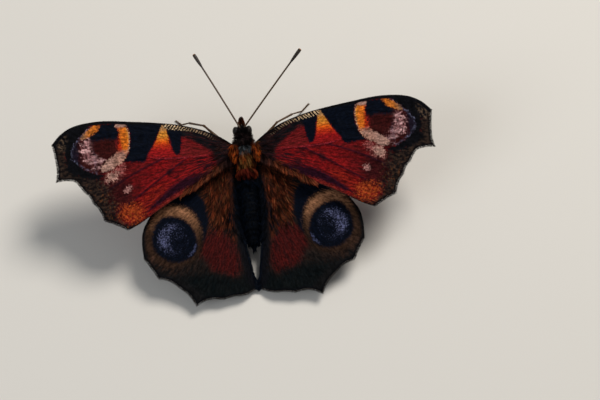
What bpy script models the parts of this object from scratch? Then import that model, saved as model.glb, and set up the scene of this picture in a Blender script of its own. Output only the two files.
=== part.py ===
"""A peacock butterfly at life size, standing on its four walking legs with all four wings held open.

Sizes are in millimetres. The body's own frame has x to the butterfly's right, y towards its head and z up
through its back, with zero at the middle of the thorax. BODY_POSE sets that frame on the floor, and finish
hands each piece on in metres, in a frame with +Z up whose origin is under the middle of the whole insect.
"""

import math

import bmesh
import bpy
from mathutils import Matrix, Vector
from mathutils.geometry import delaunay_2d_cdt

MM = 0.001
GAP = 0.3  # between neighbouring pieces, which meet face to face
MERGE_DISTANCE = 1e-4  # points closer than this are one point

# How the body is held
BODY_PITCH = math.radians(14.0)  # head up
BODY_HEIGHT = 7.7  # middle of the thorax above the floor
BODY_POSE = Matrix.Translation((0, 0, BODY_HEIGHT)) @ Matrix.Rotation(BODY_PITCH, 4, "X")

# Head and trunk: centre and half sizes of each rounded mass
HEAD = ((0.0, 5.0, 0.1), (1.2, 1.0, 1.2))
FACE = ((0.0, 5.65, -0.2), (0.75, 0.6, 0.85))
EYE = ((1.12, 5.25, 0.15), (0.58, 0.82, 0.95))
MIDDLE_THORAX = ((0.0, 0.35, -0.15), (2.1, 2.9, 2.35))
HIND_THORAX = ((0.0, -1.7, -0.25), (1.75, 1.6, 2.0))
COLLAR = ((0.0, 3.2, 0.0), (1.7, 1.25, 1.55))
TEGULA = ((1.9, 1.25, 2.06), (0.38, 1.5, 0.85))
TEGULA_LEAN = math.radians(-60.0)

ABDOMEN_FRONT = (-2.4, -0.5)  # y and z of its axis inside the thorax
ABDOMEN_LENGTH = 12.8
ABDOMEN_SAG = 1.1  # how far the tip hangs below a straight axis
ABDOMEN_RADII = ((0.0, 1.05), (0.12, 1.4), (0.3, 1.62), (0.5, 1.65), (0.7, 1.45), (0.88, 1.0), (1.0, 0.3))
ABDOMEN_RINGS = 8
RING_GROOVE = 0.13

# Feelers, palps and tongue
ANTENNA_ROOT = (0.4, 5.7, 0.85)
ANTENNA_TIPS = {"left": (-6.95, 19.2, 1.1), "right": (11.1, 17.6, 4.0)}
ANTENNA_BOW = 0.35  # how far the shaft bows up between its ends
SHAFT_RADIUS = 0.25
CLUB_RADIUS = 0.34
CLUB_SHARE = 0.17  # of the antenna's length
CLUB_FULLNESS = 0.8  # how much of a half wave its swelling is: less than 1 leaves the end blunt
ROOT_SHARE = 0.04  # sunk into the head, as a share of the length
SHAFT_STEPS = 8
CLUB_STEPS = 6
PALP_PATH = ((0.42, 5.0, -0.6), (0.5, 5.9, -1.35), (0.47, 6.7, -1.05), (0.45, 7.2, -0.3), (0.44, 7.45, 0.25))
PALP_RADII = (0.3, 0.3, 0.29, 0.26, 0.2)
TONGUE_CENTRE = (0.0, 5.2, -2.5)
TONGUE_ROOT = (0.0, 4.9, -0.85)
TONGUE_RADIUS = 0.75
TONGUE_WIRE = 0.25
TONGUE_START = math.radians(112.0)
TONGUE_TURNS = 0.86
TONGUE_STEPS = 14

# Legs. The hip's points are in the body's frame. The knee, ankle and toe have x outwards, y forwards and z
# up from the floor, with zero under the middle of the thorax.
LEG_ROOTS = {
    "middle_leg": ((0.75, 1.5, -1.2), (1.15, 1.75, -2.1), (1.7, 2.4, -2.6)),
    "hind_leg": ((0.7, -1.1, -1.2), (1.05, -1.35, -2.2), (1.6, -1.9, -2.75)),
}
LEG_JOINTS = {
    "middle_leg_left": ((6.4, 7.6, 7.5), (8.9, 10.9, 2.9), (11.1, 13.0, 0.2)),
    "middle_leg_right": ((6.2, 6.9, 7.6), (9.4, 10.7, 3.1), (12.7, 14.0, 0.2)),
    "hind_leg_left": ((5.6, -5.2, 3.7), (8.4, -8.4, 1.6), (9.9, -11.6, 0.2)),
    "hind_leg_right": ((5.6, -5.0, 3.7), (8.2, -8.1, 1.6), (9.6, -11.3, 0.2)),
}
HIP_RADIUS = 0.34
FEMUR = ((0.3, 0.36), (0.6, 0.32), (0.94, 0.26))  # share of the length and radius there
TIBIA = ((0.05, 0.27), (0.5, 0.25), (0.95, 0.27))
TARSUS_JOINTS = 5
TARSUS_JOINT = ((0.0, 0.25), (0.6, 0.27))
TARSUS_TOUCHDOWN = 0.6  # share of the tarsus that is off the floor
TOE_RADIUS = 0.22
BRUSH_LEG = ((0.55, 2.6, -1.3), (0.95, 3.1, -2.2), (1.5, 3.75, -2.75), (1.6, 3.2, -3.3), (1.45, 2.2, -3.6))
BRUSH_RADII = (0.3, 0.32, 0.32, 0.34, 0.2)

# Wings: each has its own frame, x out along the span and y forward, zero at its root
MEMBRANE = 0.5
VEIN_RISE_ABOVE = 0.2
VEIN_RISE_BELOW = 0.12
VEIN_HALF_WIDTH = (0.44, 0.28)  # at the root and at the margin
VEIN_STEP = 2.3
MARGIN_STEP = 0.75
LATTICE_STEP = 3.0
CLEAR_OF_LINES = 1.0

FOREWING = {
    "root": (2.8, 2.0, 0.9),
    "dihedral": math.radians(12.0),
    "droop": 0.0012,  # downward curve along the span, per mm
    "arch": 0.006,  # downward curve across the chord, per mm
    "arch_line": -3.0,
    "inner_fold": 0.0,
    "costa": (
        (-0.9, 0.9), (0.6, 1.95), (2.4, 2.85), (4.4, 3.75), (8.0, 4.75), (11.5, 5.3), (16.0, 5.75),
        (21.0, 6.1), (25.2, 5.6), (27.8, 4.35), (29.7, 2.4),
    ),
    "margin": {
        "R5": ((29.3, -0.5), 0.05),
        "M1": ((29.5, -4.1), 0.2),
        "M2": ((26.4, -4.15), 0.2),
        "M3": ((25.1, -6.0), 0.1),
        "CuA1": ((23.7, -8.0), 0.25),
        "CuA2": ((22.05, -11.1), 0.3),
        "2A": ((18.2, -12.85), 0.1),
    },
    "inner": ((16.4, -12.0), (14.9, -11.1), (11.4, -8.9), (7.9, -7.0), (4.0, -4.6), (0.9, -2.4), (-0.9, -1.4)),
    "veins": {
        "Sc": ((-0.4, 0.3), (2.6, 2.0), (6.5, 3.75), (10.5, 4.6), (14.2, 5.4)),
        "R": ((-0.4, -0.1), (3.5, 1.7), (7.0, 2.9), (10.4, 3.5), (13.4, 3.5)),
        "R1": ((10.4, 3.5), (14.5, 4.6), (19.8, 5.85)),
        "R3": ((13.4, 3.5), (18.5, 4.0), (24.2, 4.6), (28.3, 3.9)),
        "R5": ((18.5, 4.0), (24.4, 2.6), (29.3, -0.5)),
        "M1": ((13.4, 3.5), (18.6, 2.9), (22.8, 1.9), (25.6, 0.1), (29.5, -4.1)),
        "M2": ((13.9, 1.5), (19.4, 0.4), (23.2, -1.3), (26.4, -4.15)),
        "cross": ((13.4, 3.5), (13.9, 1.5), (14.0, -0.55)),
        "Cu": ((-0.4, -0.5), (3.5, -0.8), (7.0, -1.0), (11.3, -1.05), (14.0, -0.55)),
        "M3": ((14.0, -0.55), (17.5, -1.1), (21.4, -2.7), (25.1, -6.0)),
        "CuA1": ((11.3, -1.05), (15.5, -2.9), (19.5, -5.1), (23.7, -8.0)),
        "CuA2": ((7.0, -1.0), (11.0, -3.7), (16.5, -7.6), (22.05, -11.1)),
        "2A": ((-0.3, -0.9), (4.8, -3.1), (9.0, -5.5), (13.5, -9.0), (18.2, -12.85)),
    },
}
HINDWING = {
    "root": (2.5, -0.3, -0.35),
    "dihedral": math.radians(9.0),
    "droop": 0.0022,
    "arch": 0.0016,
    "arch_line": 0.0,
    "inner_fold": 0.05,
    "costa": (
        (-1.1, 0.7), (0.8, 1.45), (3.4, 1.3), (6.8, 0.0), (10.2, -2.6), (13.0, -5.8), (14.9, -8.6),
        (15.95, -10.5), (16.3, -12.7), (16.2, -15.3),
    ),
    "margin": {
        "M1": ((14.1, -18.8), 0.05),
        "M2": ((10.9, -20.45), 0.35),
        "M3": ((8.15, -23.95), 0.35),
        "CuA1": ((3.6, -23.2), 0.6),
        "CuA2": ((0.2, -22.8), 0.15),
        "2A": ((-2.3, -21.7), -0.15),
    },
    "inner": (
        (-2.35, -20.4), (-1.95, -18.0), (-1.4, -15.0), (-0.95, -12.5), (-0.55, -9.5), (-0.6, -5.0), (-1.0, -1.6),
    ),
    "veins": {
        "Sc": ((-0.3, 0.1), (4.2, -0.1), (9.8, -3.9), (15.3, -10.6)),
        "R": ((-0.3, -0.1), (3.6, -2.3), (6.6, -5.6), (7.6, -7.2)),
        "Rs": ((3.6, -2.3), (9.4, -6.6), (13.8, -11.2), (16.2, -15.3)),
        "M1": ((7.6, -7.2), (11.4, -12.9), (14.1, -18.8)),
        "M2": ((7.6, -9.0), (9.8, -14.5), (10.9, -20.45)),
        "cross": ((7.6, -7.2), (7.6, -9.0), (5.6, -11.2), (3.7, -11.4)),
        "M3": ((5.6, -11.2), (7.3, -17.3), (8.15, -23.95)),
        "Cu": ((-0.3, -0.4), (1.7, -5.0), (3.1, -9.0), (3.7, -11.4)),
        "CuA1": ((3.7, -11.4), (4.2, -17.2), (3.6, -23.2)),
        "CuA2": ((3.1, -9.0), (1.9, -15.8), (0.2, -22.8)),
        "2A": ((-0.1, -0.7), (0.6, -8.0), (-0.2, -15.5), (-2.3, -21.7)),
    },
}
WINGS = {"forewing": FOREWING, "hindwing": HINDWING}

# Colour, roughness
FINISHES = {
    "forewing": ((0.24, 0.035, 0.025), 0.75),
    "hindwing": ((0.16, 0.035, 0.03), 0.75),
    "thorax": ((0.16, 0.075, 0.03), 0.9),
    "tegula": ((0.32, 0.14, 0.045), 0.9),
    "abdomen": ((0.03, 0.022, 0.02), 0.85),
    "head": ((0.045, 0.03, 0.022), 0.9),
    "eye": ((0.02, 0.014, 0.01), 0.25),
    "antenna": ((0.05, 0.03, 0.018), 0.5),
    "palp": ((0.07, 0.04, 0.02), 0.85),
    "proboscis": ((0.06, 0.035, 0.02), 0.4),
    "leg": ((0.16, 0.085, 0.03), 0.6),
    "brush": ((0.08, 0.05, 0.03), 0.9),
}
SIDES = {"right": 1, "left": -1}


def clear_scene():
    for obj in list(bpy.data.objects):
        bpy.data.objects.remove(obj)


def add_object(name, bm):
    mesh = bpy.data.meshes.new(name)
    bmesh.ops.recalc_face_normals(bm, faces=bm.faces)
    bm.to_mesh(mesh)
    bm.free()
    obj = bpy.data.objects.new(name, mesh)
    bpy.context.scene.collection.objects.link(obj)
    return obj


def bake_modifiers(obj):
    """Replaces the mesh with what its modifiers make of it."""
    graph = bpy.context.evaluated_depsgraph_get()
    made = bpy.data.meshes.new_from_object(obj.evaluated_get(graph))
    obj.modifiers.clear()
    obj.data = made


def keep_largest_surface(obj):
    bm = bmesh.new()
    bm.from_mesh(obj.data)
    bmesh.ops.remove_doubles(bm, verts=bm.verts, dist=MERGE_DISTANCE)
    left = set(bm.verts)
    shells = []
    while left:
        reached = [left.pop()]
        shell = list(reached)
        while reached:
            for edge in reached.pop().link_edges:
                for vert in edge.verts:
                    if vert in left:
                        left.remove(vert)
                        reached.append(vert)
                        shell.append(vert)
        shells.append(shell)
    shells.sort(key=len)
    scraps = [vert for shell in shells[:-1] for vert in shell]
    bmesh.ops.delete(bm, geom=scraps, context="VERTS")
    bm.to_mesh(obj.data)
    bm.free()


def boolean(obj, other, operation):
    """Cuts the other object from this one, or joins it on, and removes it."""
    step = obj.modifiers.new(operation.title(), "BOOLEAN")
    step.operation = operation
    step.object = other
    step.solver = "EXACT"
    bpy.context.view_layer.update()
    bake_modifiers(obj)
    bpy.data.objects.remove(other)
    keep_largest_surface(obj)
    return obj


def ellipsoid(name, mass, grow=0.0, lean=0.0, side=1, segments=20, rings=12):
    """A rounded mass in the body's frame, made larger all round by grow."""
    centre, half_sizes = mass
    bm = bmesh.new()
    bmesh.ops.create_uvsphere(bm, u_segments=segments, v_segments=rings, radius=1.0)
    scale = Matrix.Diagonal([size + grow for size in half_sizes] + [1.0])
    along_body = Matrix.Rotation(math.pi / 2, 4, "X")
    place = Matrix.Translation((side * centre[0], centre[1], centre[2]))
    turn = Matrix.Rotation(side * lean, 4, "Y")
    bm.transform(BODY_POSE @ place @ turn @ scale @ along_body)
    return add_object(name, bm)


def tube(name, points, radii, bevel=2):
    """A round rod through the points, closed at both ends."""
    curve = bpy.data.curves.new(name, "CURVE")
    curve.dimensions = "3D"
    curve.bevel_depth = 1.0
    curve.bevel_resolution = bevel
    curve.use_fill_caps = True
    spline = curve.splines.new("POLY")
    spline.points.add(len(points) - 1)
    for knot, point, radius in zip(spline.points, points, radii):
        knot.co = (*point, 1.0)
        knot.radius = radius
    rod = bpy.data.objects.new(name + "_line", curve)
    bpy.context.scene.collection.objects.link(rod)
    bpy.context.view_layer.update()
    graph = bpy.context.evaluated_depsgraph_get()
    mesh = bpy.data.meshes.new_from_object(rod.evaluated_get(graph))
    bpy.data.objects.remove(rod)
    bm = bmesh.new()
    bm.from_mesh(mesh)
    bmesh.ops.remove_doubles(bm, verts=bm.verts, dist=MERGE_DISTANCE)
    return add_object(name, bm)


def smooth(points, step):
    """Points every step or so along a smooth curve through the ones given."""
    knots = [Vector(p) for p in points]
    ends = [2 * knots[0] - knots[1], *knots, 2 * knots[-1] - knots[-2]]
    made = []
    for before, start, end, after in zip(ends, ends[1:], ends[2:], ends[3:]):
        count = max(1, round((end - start).length / step))
        for i in range(count):
            t = i / count
            made.append(
                0.5
                * (
                    2 * start
                    + (end - before) * t
                    + (2 * before - 5 * start + 4 * end - after) * t**2
                    + (3 * start - before - 3 * end + after) * t**3
                )
            )
    return [*made, knots[-1]]


def between(start, end, share):
    return start + (end - start) * share


def on_body(point, side=1):
    return BODY_POSE @ Vector((side * point[0], point[1], point[2]))


def head_mass(grow=0.0):
    skull = ellipsoid("head", HEAD, grow)
    return boolean(skull, ellipsoid("face", FACE, grow, segments=16, rings=10), "UNION")


def thorax_mass(grow=0.0):
    trunk = ellipsoid("thorax", MIDDLE_THORAX, grow, segments=24, rings=16)
    boolean(trunk, ellipsoid("rear", HIND_THORAX, grow), "UNION")
    return boolean(trunk, ellipsoid("collar", COLLAR, grow), "UNION")


def clear_of(piece, *masses):
    """Cuts the piece back to a gap from each mass that it grows from."""
    for mass in masses:
        boolean(piece, mass(GAP), "DIFFERENCE")
    return piece


def thorax():
    return clear_of(thorax_mass(), head_mass)


def eye(name, side):
    return clear_of(ellipsoid(name, EYE, side=side, segments=18, rings=12), head_mass)


def tegula(name, side):
    lobe = ellipsoid(name, TEGULA, lean=TEGULA_LEAN, side=side, segments=16, rings=10)
    return clear_of(lobe, thorax_mass)


def abdomen_radius(share):
    for (start, low), (end, high) in zip(ABDOMEN_RADII, ABDOMEN_RADII[1:]):
        if share <= end:
            blend = (share - start) / (end - start)
            return low + (high - low) * (1 - math.cos(math.pi * blend)) / 2
    return ABDOMEN_RADII[-1][1]


def abdomen():
    """A turned, ringed body whose axis hangs in a shallow curve towards its tip."""
    steps_in_ring = 3
    count = ABDOMEN_RINGS * steps_in_ring
    bm = bmesh.new()
    chain = [bm.verts.new((0, 0, 0))]
    for i in range(count + 1):
        share = i / count
        at_ring_end = i % steps_in_ring == 0
        radius = abdomen_radius(share) - (RING_GROOVE if at_ring_end and 0 < i < count else 0.0)
        chain.append(bm.verts.new((radius, 0, -ABDOMEN_LENGTH * share)))
    chain.append(bm.verts.new((0, 0, -ABDOMEN_LENGTH - RING_GROOVE)))
    for start, end in zip(chain, chain[1:]):
        bm.edges.new((start, end))
    body = add_object("abdomen", bm)
    turn = body.modifiers.new("Turn", "SCREW")
    turn.steps = turn.render_steps = 16
    turn.use_merge_vertices = True
    turn.merge_threshold = MERGE_DISTANCE
    bake_modifiers(body)
    front_y, front_z = ABDOMEN_FRONT
    for vert in body.data.vertices:
        share = -vert.co.z / ABDOMEN_LENGTH
        x, across, along = vert.co
        sag = ABDOMEN_SAG * share**2
        vert.co = on_body((x, front_y + along, front_z + across - sag))
    bm = bmesh.new()
    bm.from_mesh(body.data)
    bmesh.ops.recalc_face_normals(bm, faces=bm.faces)
    bm.to_mesh(body.data)
    bm.free()
    return clear_of(body, thorax_mass)


def antenna(name, side_name):
    """A thin shaft with a flat-ended club, rooted in the crown of the head."""
    side = SIDES[side_name]
    root, tip = on_body(ANTENNA_ROOT, side), on_body(ANTENNA_TIPS[side_name])
    shares = [i / SHAFT_STEPS * (1 - CLUB_SHARE) for i in range(SHAFT_STEPS + 1)]
    shares += [1 - CLUB_SHARE * (1 - (i + 1) / CLUB_STEPS) for i in range(CLUB_STEPS)]
    points, radii = [between(root, tip, -ROOT_SHARE)], [SHAFT_RADIUS]
    for share in shares:
        bow = Vector((0, 0, ANTENNA_BOW * math.sin(math.pi * share)))
        points.append(between(root, tip, share) + bow)
        along_club = max(0.0, 1 - (1 - share) / CLUB_SHARE)
        swell = math.sin(CLUB_FULLNESS * math.pi * along_club)
        radii.append(SHAFT_RADIUS + (CLUB_RADIUS - SHAFT_RADIUS) * swell)
    radii[-1] = SHAFT_RADIUS
    return clear_of(tube(name, points, radii), head_mass)


def palp(name, side):
    path = [on_body(p, side) for p in PALP_PATH]
    return clear_of(tube(name, path, PALP_RADII), head_mass)


def proboscis():
    """The tongue, coiled under the face, with its root in the head."""
    path = [Vector(TONGUE_ROOT)]
    for i in range(TONGUE_STEPS + 1):
        angle = TONGUE_START - 2 * math.pi * TONGUE_TURNS * i / TONGUE_STEPS
        swing = Vector((0, math.cos(angle), math.sin(angle))) * TONGUE_RADIUS
        path.append(Vector(TONGUE_CENTRE) + swing)
    wire = tube("proboscis", [on_body(p) for p in path], [TONGUE_WIRE] * len(path))
    return clear_of(wire, head_mass)


def floor_block():
    """What lies under the floor, to trim the feet flat."""
    bm = bmesh.new()
    bmesh.ops.create_cube(bm, size=60.0)
    bm.transform(Matrix.Translation((0, 0, -30.0)))
    return add_object("floor", bm)


def leg(name, pair, side):
    """Coxa, femur, tibia and a jointed tarsus that comes down to the floor and lies along it."""
    knee, ankle, toe = (Vector((side * x, y, z)) for x, y, z in LEG_JOINTS[name])
    path = [on_body(p, side) for p in LEG_ROOTS[pair]]
    radii = [HIP_RADIUS] * len(path)
    hip = path[-1]
    for start, end, shape in ((hip, knee, FEMUR), (knee, ankle, TIBIA)):
        for share, radius in shape:
            path.append(between(start, end, share))
            radii.append(radius)
    for i in range(TARSUS_JOINTS):
        for share, radius in TARSUS_JOINT:
            along = (i + share) / TARSUS_JOINTS
            point = between(ankle, toe, along)
            point.z = between(ankle.z, toe.z, min(1.0, along / TARSUS_TOUCHDOWN))
            path.append(point)
            radii.append(radius)
    path.append(toe)
    radii.append(TOE_RADIUS)
    limb = clear_of(tube(name, path, radii), thorax_mass)
    return boolean(limb, floor_block(), "DIFFERENCE")


def brush_leg(name, side):
    """One of the two short front legs, folded against the breast and no use for walking."""
    path = [on_body(p, side) for p in BRUSH_LEG]
    return clear_of(tube(name, path, BRUSH_RADII), thorax_mass)


def scalloped_margin(start, ends):
    """From vein end to vein end, each stretch sagging inwards by its own depth."""
    line = []
    for end, sag in ends:
        end = Vector(end)
        span = end - start
        inwards = Vector((span.y, -span.x)).normalized()
        count = max(2, round(span.length / MARGIN_STEP))
        for i in range(1, count + 1):
            line.append(between(start, end, i / count) + inwards * sag * math.sin(math.pi * i / count))
        start = end
    return line


def wing_outline(plan):
    costa = smooth(plan["costa"], 2 * MARGIN_STEP)
    margin = scalloped_margin(costa[-1], plan["margin"].values())
    inner = smooth((margin[-1], *plan["inner"]), 2 * MARGIN_STEP)
    return [*costa, *margin, *inner[1:]]


def distance_to_line(point, line):
    """How far the point is from the line, and how far along the line that is, from 0 to 1."""
    best, along = 1e9, 0.0
    for i, (start, end) in enumerate(zip(line, line[1:])):
        span = end - start
        t = min(1.0, max(0.0, (point - start).dot(span) / span.length_squared))
        gap = (start + span * t - point).length
        if gap < best:
            best, along = gap, (i + t) / (len(line) - 1)
    return best, along


def vein_width(along):
    return VEIN_HALF_WIDTH[0] + (VEIN_HALF_WIDTH[1] - VEIN_HALF_WIDTH[0]) * along


def vein_height(point, veins):
    """1 on the crest of a vein near the root, falling to 0 at its foot and lower towards the margin."""
    height = 0.0
    for line in veins:
        gap, along = distance_to_line(point, line)
        height = max(height, (1 - gap / vein_width(along)) * (1 - 0.6 * along))
    return height


def vein_feet(line, outline):
    """The two foot lines of a vein, which meet at its ends."""
    rim = [*outline, outline[0]]
    for side in (1, -1):
        foot = [line[0]]
        for i in range(1, len(line) - 1):
            heading = (line[i + 1] - line[i - 1]).normalized()
            point = line[i] + side * Vector((-heading.y, heading.x)) * vein_width(i / (len(line) - 1))
            if distance_to_line(point, rim)[0] > VEIN_HALF_WIDTH[1]:
                foot.append(point)
        yield [*foot, line[-1]]


def inside(point, outline):
    crossings = 0
    for a, b in zip(outline, outline[1:] + outline[:1]):
        if (a.y > point.y) != (b.y > point.y):
            crossings += point.x < a.x + (point.y - a.y) / (b.y - a.y) * (b.x - a.x)
    return crossings % 2 == 1


def lattice(outline, lines):
    """Points spread evenly over the open parts of the membrane, so that it can curve."""
    low_x, high_x = min(p.x for p in outline), max(p.x for p in outline)
    low_y, high_y = min(p.y for p in outline), max(p.y for p in outline)
    rows = int((high_y - low_y) / (LATTICE_STEP * math.sin(math.pi / 3))) + 1
    columns = int((high_x - low_x) / LATTICE_STEP) + 2
    for row in range(rows):
        for column in range(columns):
            x = low_x + (column + 0.5 * (row % 2)) * LATTICE_STEP
            point = Vector((x, low_y + row * LATTICE_STEP * math.sin(math.pi / 3)))
            if inside(point, outline) and all(distance_to_line(point, l)[0] > CLEAR_OF_LINES for l in lines):
                yield point


def flat_wing(plan, veins):
    """The wing's outline as a flat sheet of triangles whose edges follow the veins."""
    outline = wing_outline(plan)
    lines = [*veins, *(foot for vein in veins for foot in vein_feet(vein, outline))]
    points, edges = list(outline), []
    for i in range(len(outline)):
        edges.append((i, (i + 1) % len(outline)))
    for line in lines:
        first = len(points)
        points += line
        edges += [(i, i + 1) for i in range(first, len(points) - 1)]
    points += lattice(outline, [*lines, [*outline, outline[0]]])
    verts, _, faces, *_ = delaunay_2d_cdt(points, edges, [], 1, 1e-3)
    bm = bmesh.new()
    corners = [bm.verts.new((v.x, v.y, 0.0)) for v in verts]
    for face in faces:
        bm.faces.new([corners[i] for i in face])
    return bm


def wing_bend(plan, x, y):
    """How far the membrane bends out of its plane at a point."""
    out = min(1.0, max(0.0, x / 10.0))
    bend = -plan["droop"] * (x * x) - plan["arch"] * out * (y - plan["arch_line"]) ** 2
    fold = max(0.0, 2.0 - x) ** 2 * min(1.0, max(0.0, -y / 8.0))
    return bend - plan["inner_fold"] * fold


def wing(name, plan, side):
    """A membrane of even thickness, with its veins raised in its own upper and lower surface."""
    veins = [smooth(path, VEIN_STEP) for path in plan["veins"].values()]
    bm = flat_wing(plan, veins)
    made = bmesh.ops.extrude_face_region(bm, geom=bm.faces[:])
    upper = {item for item in made["geom"] if isinstance(item, bmesh.types.BMVert)}
    for vert in bm.verts:
        x, y = vert.co.x, vert.co.y
        crest = vein_height(Vector((x, y)), veins)
        middle = wing_bend(plan, x, y)
        if vert in upper:
            vert.co.z = middle + MEMBRANE / 2 + VEIN_RISE_ABOVE * crest
        else:
            vert.co.z = middle - MEMBRANE / 2 - VEIN_RISE_BELOW * crest
    root_x, root_y, root_z = plan["root"]
    hinge = Matrix.Translation((side * root_x, root_y, root_z)) @ Matrix.Rotation(-side * plan["dihedral"], 4, "Y")
    bm.transform(BODY_POSE @ hinge @ Matrix.Diagonal((side, 1, 1, 1)))
    return clear_of(add_object(name, bm), thorax_mass)


def material(kind):
    colour, roughness = FINISHES[kind]
    made = bpy.data.materials.get(kind) or bpy.data.materials.new(kind)
    made.use_nodes = True
    shader = made.node_tree.nodes["Principled BSDF"]
    shader.inputs["Base Color"].default_value = (*colour, 1.0)
    shader.inputs["Roughness"].default_value = roughness
    shader.inputs["Metallic"].default_value = 0.0
    return made


def build_pieces():
    """Each finished piece with its finish and the point that it grows from, in the body's frame."""
    pieces = [
        (head_mass(), "head", HEAD[0]),
        (thorax(), "thorax", (0, 0, 0)),
        (abdomen(), "abdomen", (0, *ABDOMEN_FRONT)),
        (proboscis(), "proboscis", TONGUE_CENTRE),
    ]
    for side_name, side in SIDES.items():
        def at(point, side=side):
            return (side * point[0], point[1], point[2])

        pieces += [
            (eye(f"eye_{side_name}", side), "eye", at(EYE[0])),
            (tegula(f"tegula_{side_name}", side), "tegula", at(TEGULA[0])),
            (antenna(f"antenna_{side_name}", side_name), "antenna", at(ANTENNA_ROOT)),
            (palp(f"palp_{side_name}", side), "palp", at(PALP_PATH[0])),
            (brush_leg(f"foreleg_{side_name}", side), "brush", at(BRUSH_LEG[0])),
        ]
        for pair, hips in LEG_ROOTS.items():
            pieces.append((leg(f"{pair}_{side_name}", pair, side), "leg", at(hips[0])))
        for wing_name, plan in WINGS.items():
            made = wing(f"{wing_name}_{side_name}", plan, side)
            pieces.append((made, wing_name, at(plan["root"])))
    return pieces


def finish(pieces):
    """Puts every piece's origin where it grows from, in metres, under one empty at the frame's origin."""
    bpy.context.view_layer.update()
    corners = [vert.co for obj, _, _ in pieces for vert in obj.data.vertices]
    middle = Vector(
        (
            (min(c.x for c in corners) + max(c.x for c in corners)) / 2,
            (min(c.y for c in corners) + max(c.y for c in corners)) / 2,
            0.0,
        )
    )
    collection = bpy.data.collections.new("peacock_butterfly")
    bpy.context.scene.collection.children.link(collection)
    stance = bpy.data.objects.new("stance", None)
    collection.objects.link(stance)
    for obj, kind, root in pieces:
        grows_from = on_body(root)
        obj.data.transform(Matrix.Scale(MM, 4) @ Matrix.Translation(-grows_from))
        obj.location = (grows_from - middle) * MM
        obj.parent = stance
        obj.data.materials.clear()
        obj.data.materials.append(material(kind))
        obj.data.shade_smooth()
        obj.data.set_sharp_from_angle(angle=math.radians(50))
        for old in list(obj.users_collection):
            old.objects.unlink(obj)
        collection.objects.link(obj)


clear_scene()
finish(build_pieces())
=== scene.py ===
"""The looks of a peacock butterfly at life size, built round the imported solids.

Shapes are made in millimetres in the body's own frame, with x to the butterfly's right, y towards its head,
z up through its back and zero at the middle of the thorax. BODY_TO_FRAME sets them, in metres, where the
solids are.
A wing is drawn flat first, on a plan with x out along the span and y forwards, zero at its root.
"""

import math

import bpy
import numpy as np
from mathutils import Matrix, Vector
from mathutils.geometry import delaunay_2d_cdt


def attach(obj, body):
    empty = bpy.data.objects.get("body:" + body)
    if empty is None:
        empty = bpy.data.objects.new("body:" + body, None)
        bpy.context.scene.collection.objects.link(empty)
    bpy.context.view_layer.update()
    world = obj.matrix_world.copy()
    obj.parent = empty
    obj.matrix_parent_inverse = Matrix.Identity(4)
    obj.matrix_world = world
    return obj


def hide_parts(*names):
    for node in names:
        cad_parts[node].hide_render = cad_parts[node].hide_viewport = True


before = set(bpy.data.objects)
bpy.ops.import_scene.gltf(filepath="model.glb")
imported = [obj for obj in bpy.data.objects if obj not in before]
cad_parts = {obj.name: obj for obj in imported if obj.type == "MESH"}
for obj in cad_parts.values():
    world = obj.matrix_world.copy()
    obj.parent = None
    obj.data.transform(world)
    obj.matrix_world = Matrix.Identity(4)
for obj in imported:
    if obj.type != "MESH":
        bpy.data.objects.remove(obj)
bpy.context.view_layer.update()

MM = 0.001
SIDES = {"right": 1, "left": -1}
RANDOM_SEED = 20

# How the body is held, as in the solids
BODY_PITCH = math.radians(14.0)
BODY_HEIGHT = 7.7
THORAX_FORWARD = 2.5714  # middle of the thorax ahead of the frame's origin
FLOOR_TO_FRAME = Matrix.Scale(MM, 4) @ Matrix.Translation((0, THORAX_FORWARD, 0))
BODY_POSE = Matrix.Translation((0, 0, BODY_HEIGHT)) @ Matrix.Rotation(BODY_PITCH, 4, "X")
BODY_TO_FRAME = FLOOR_TO_FRAME @ BODY_POSE

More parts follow.
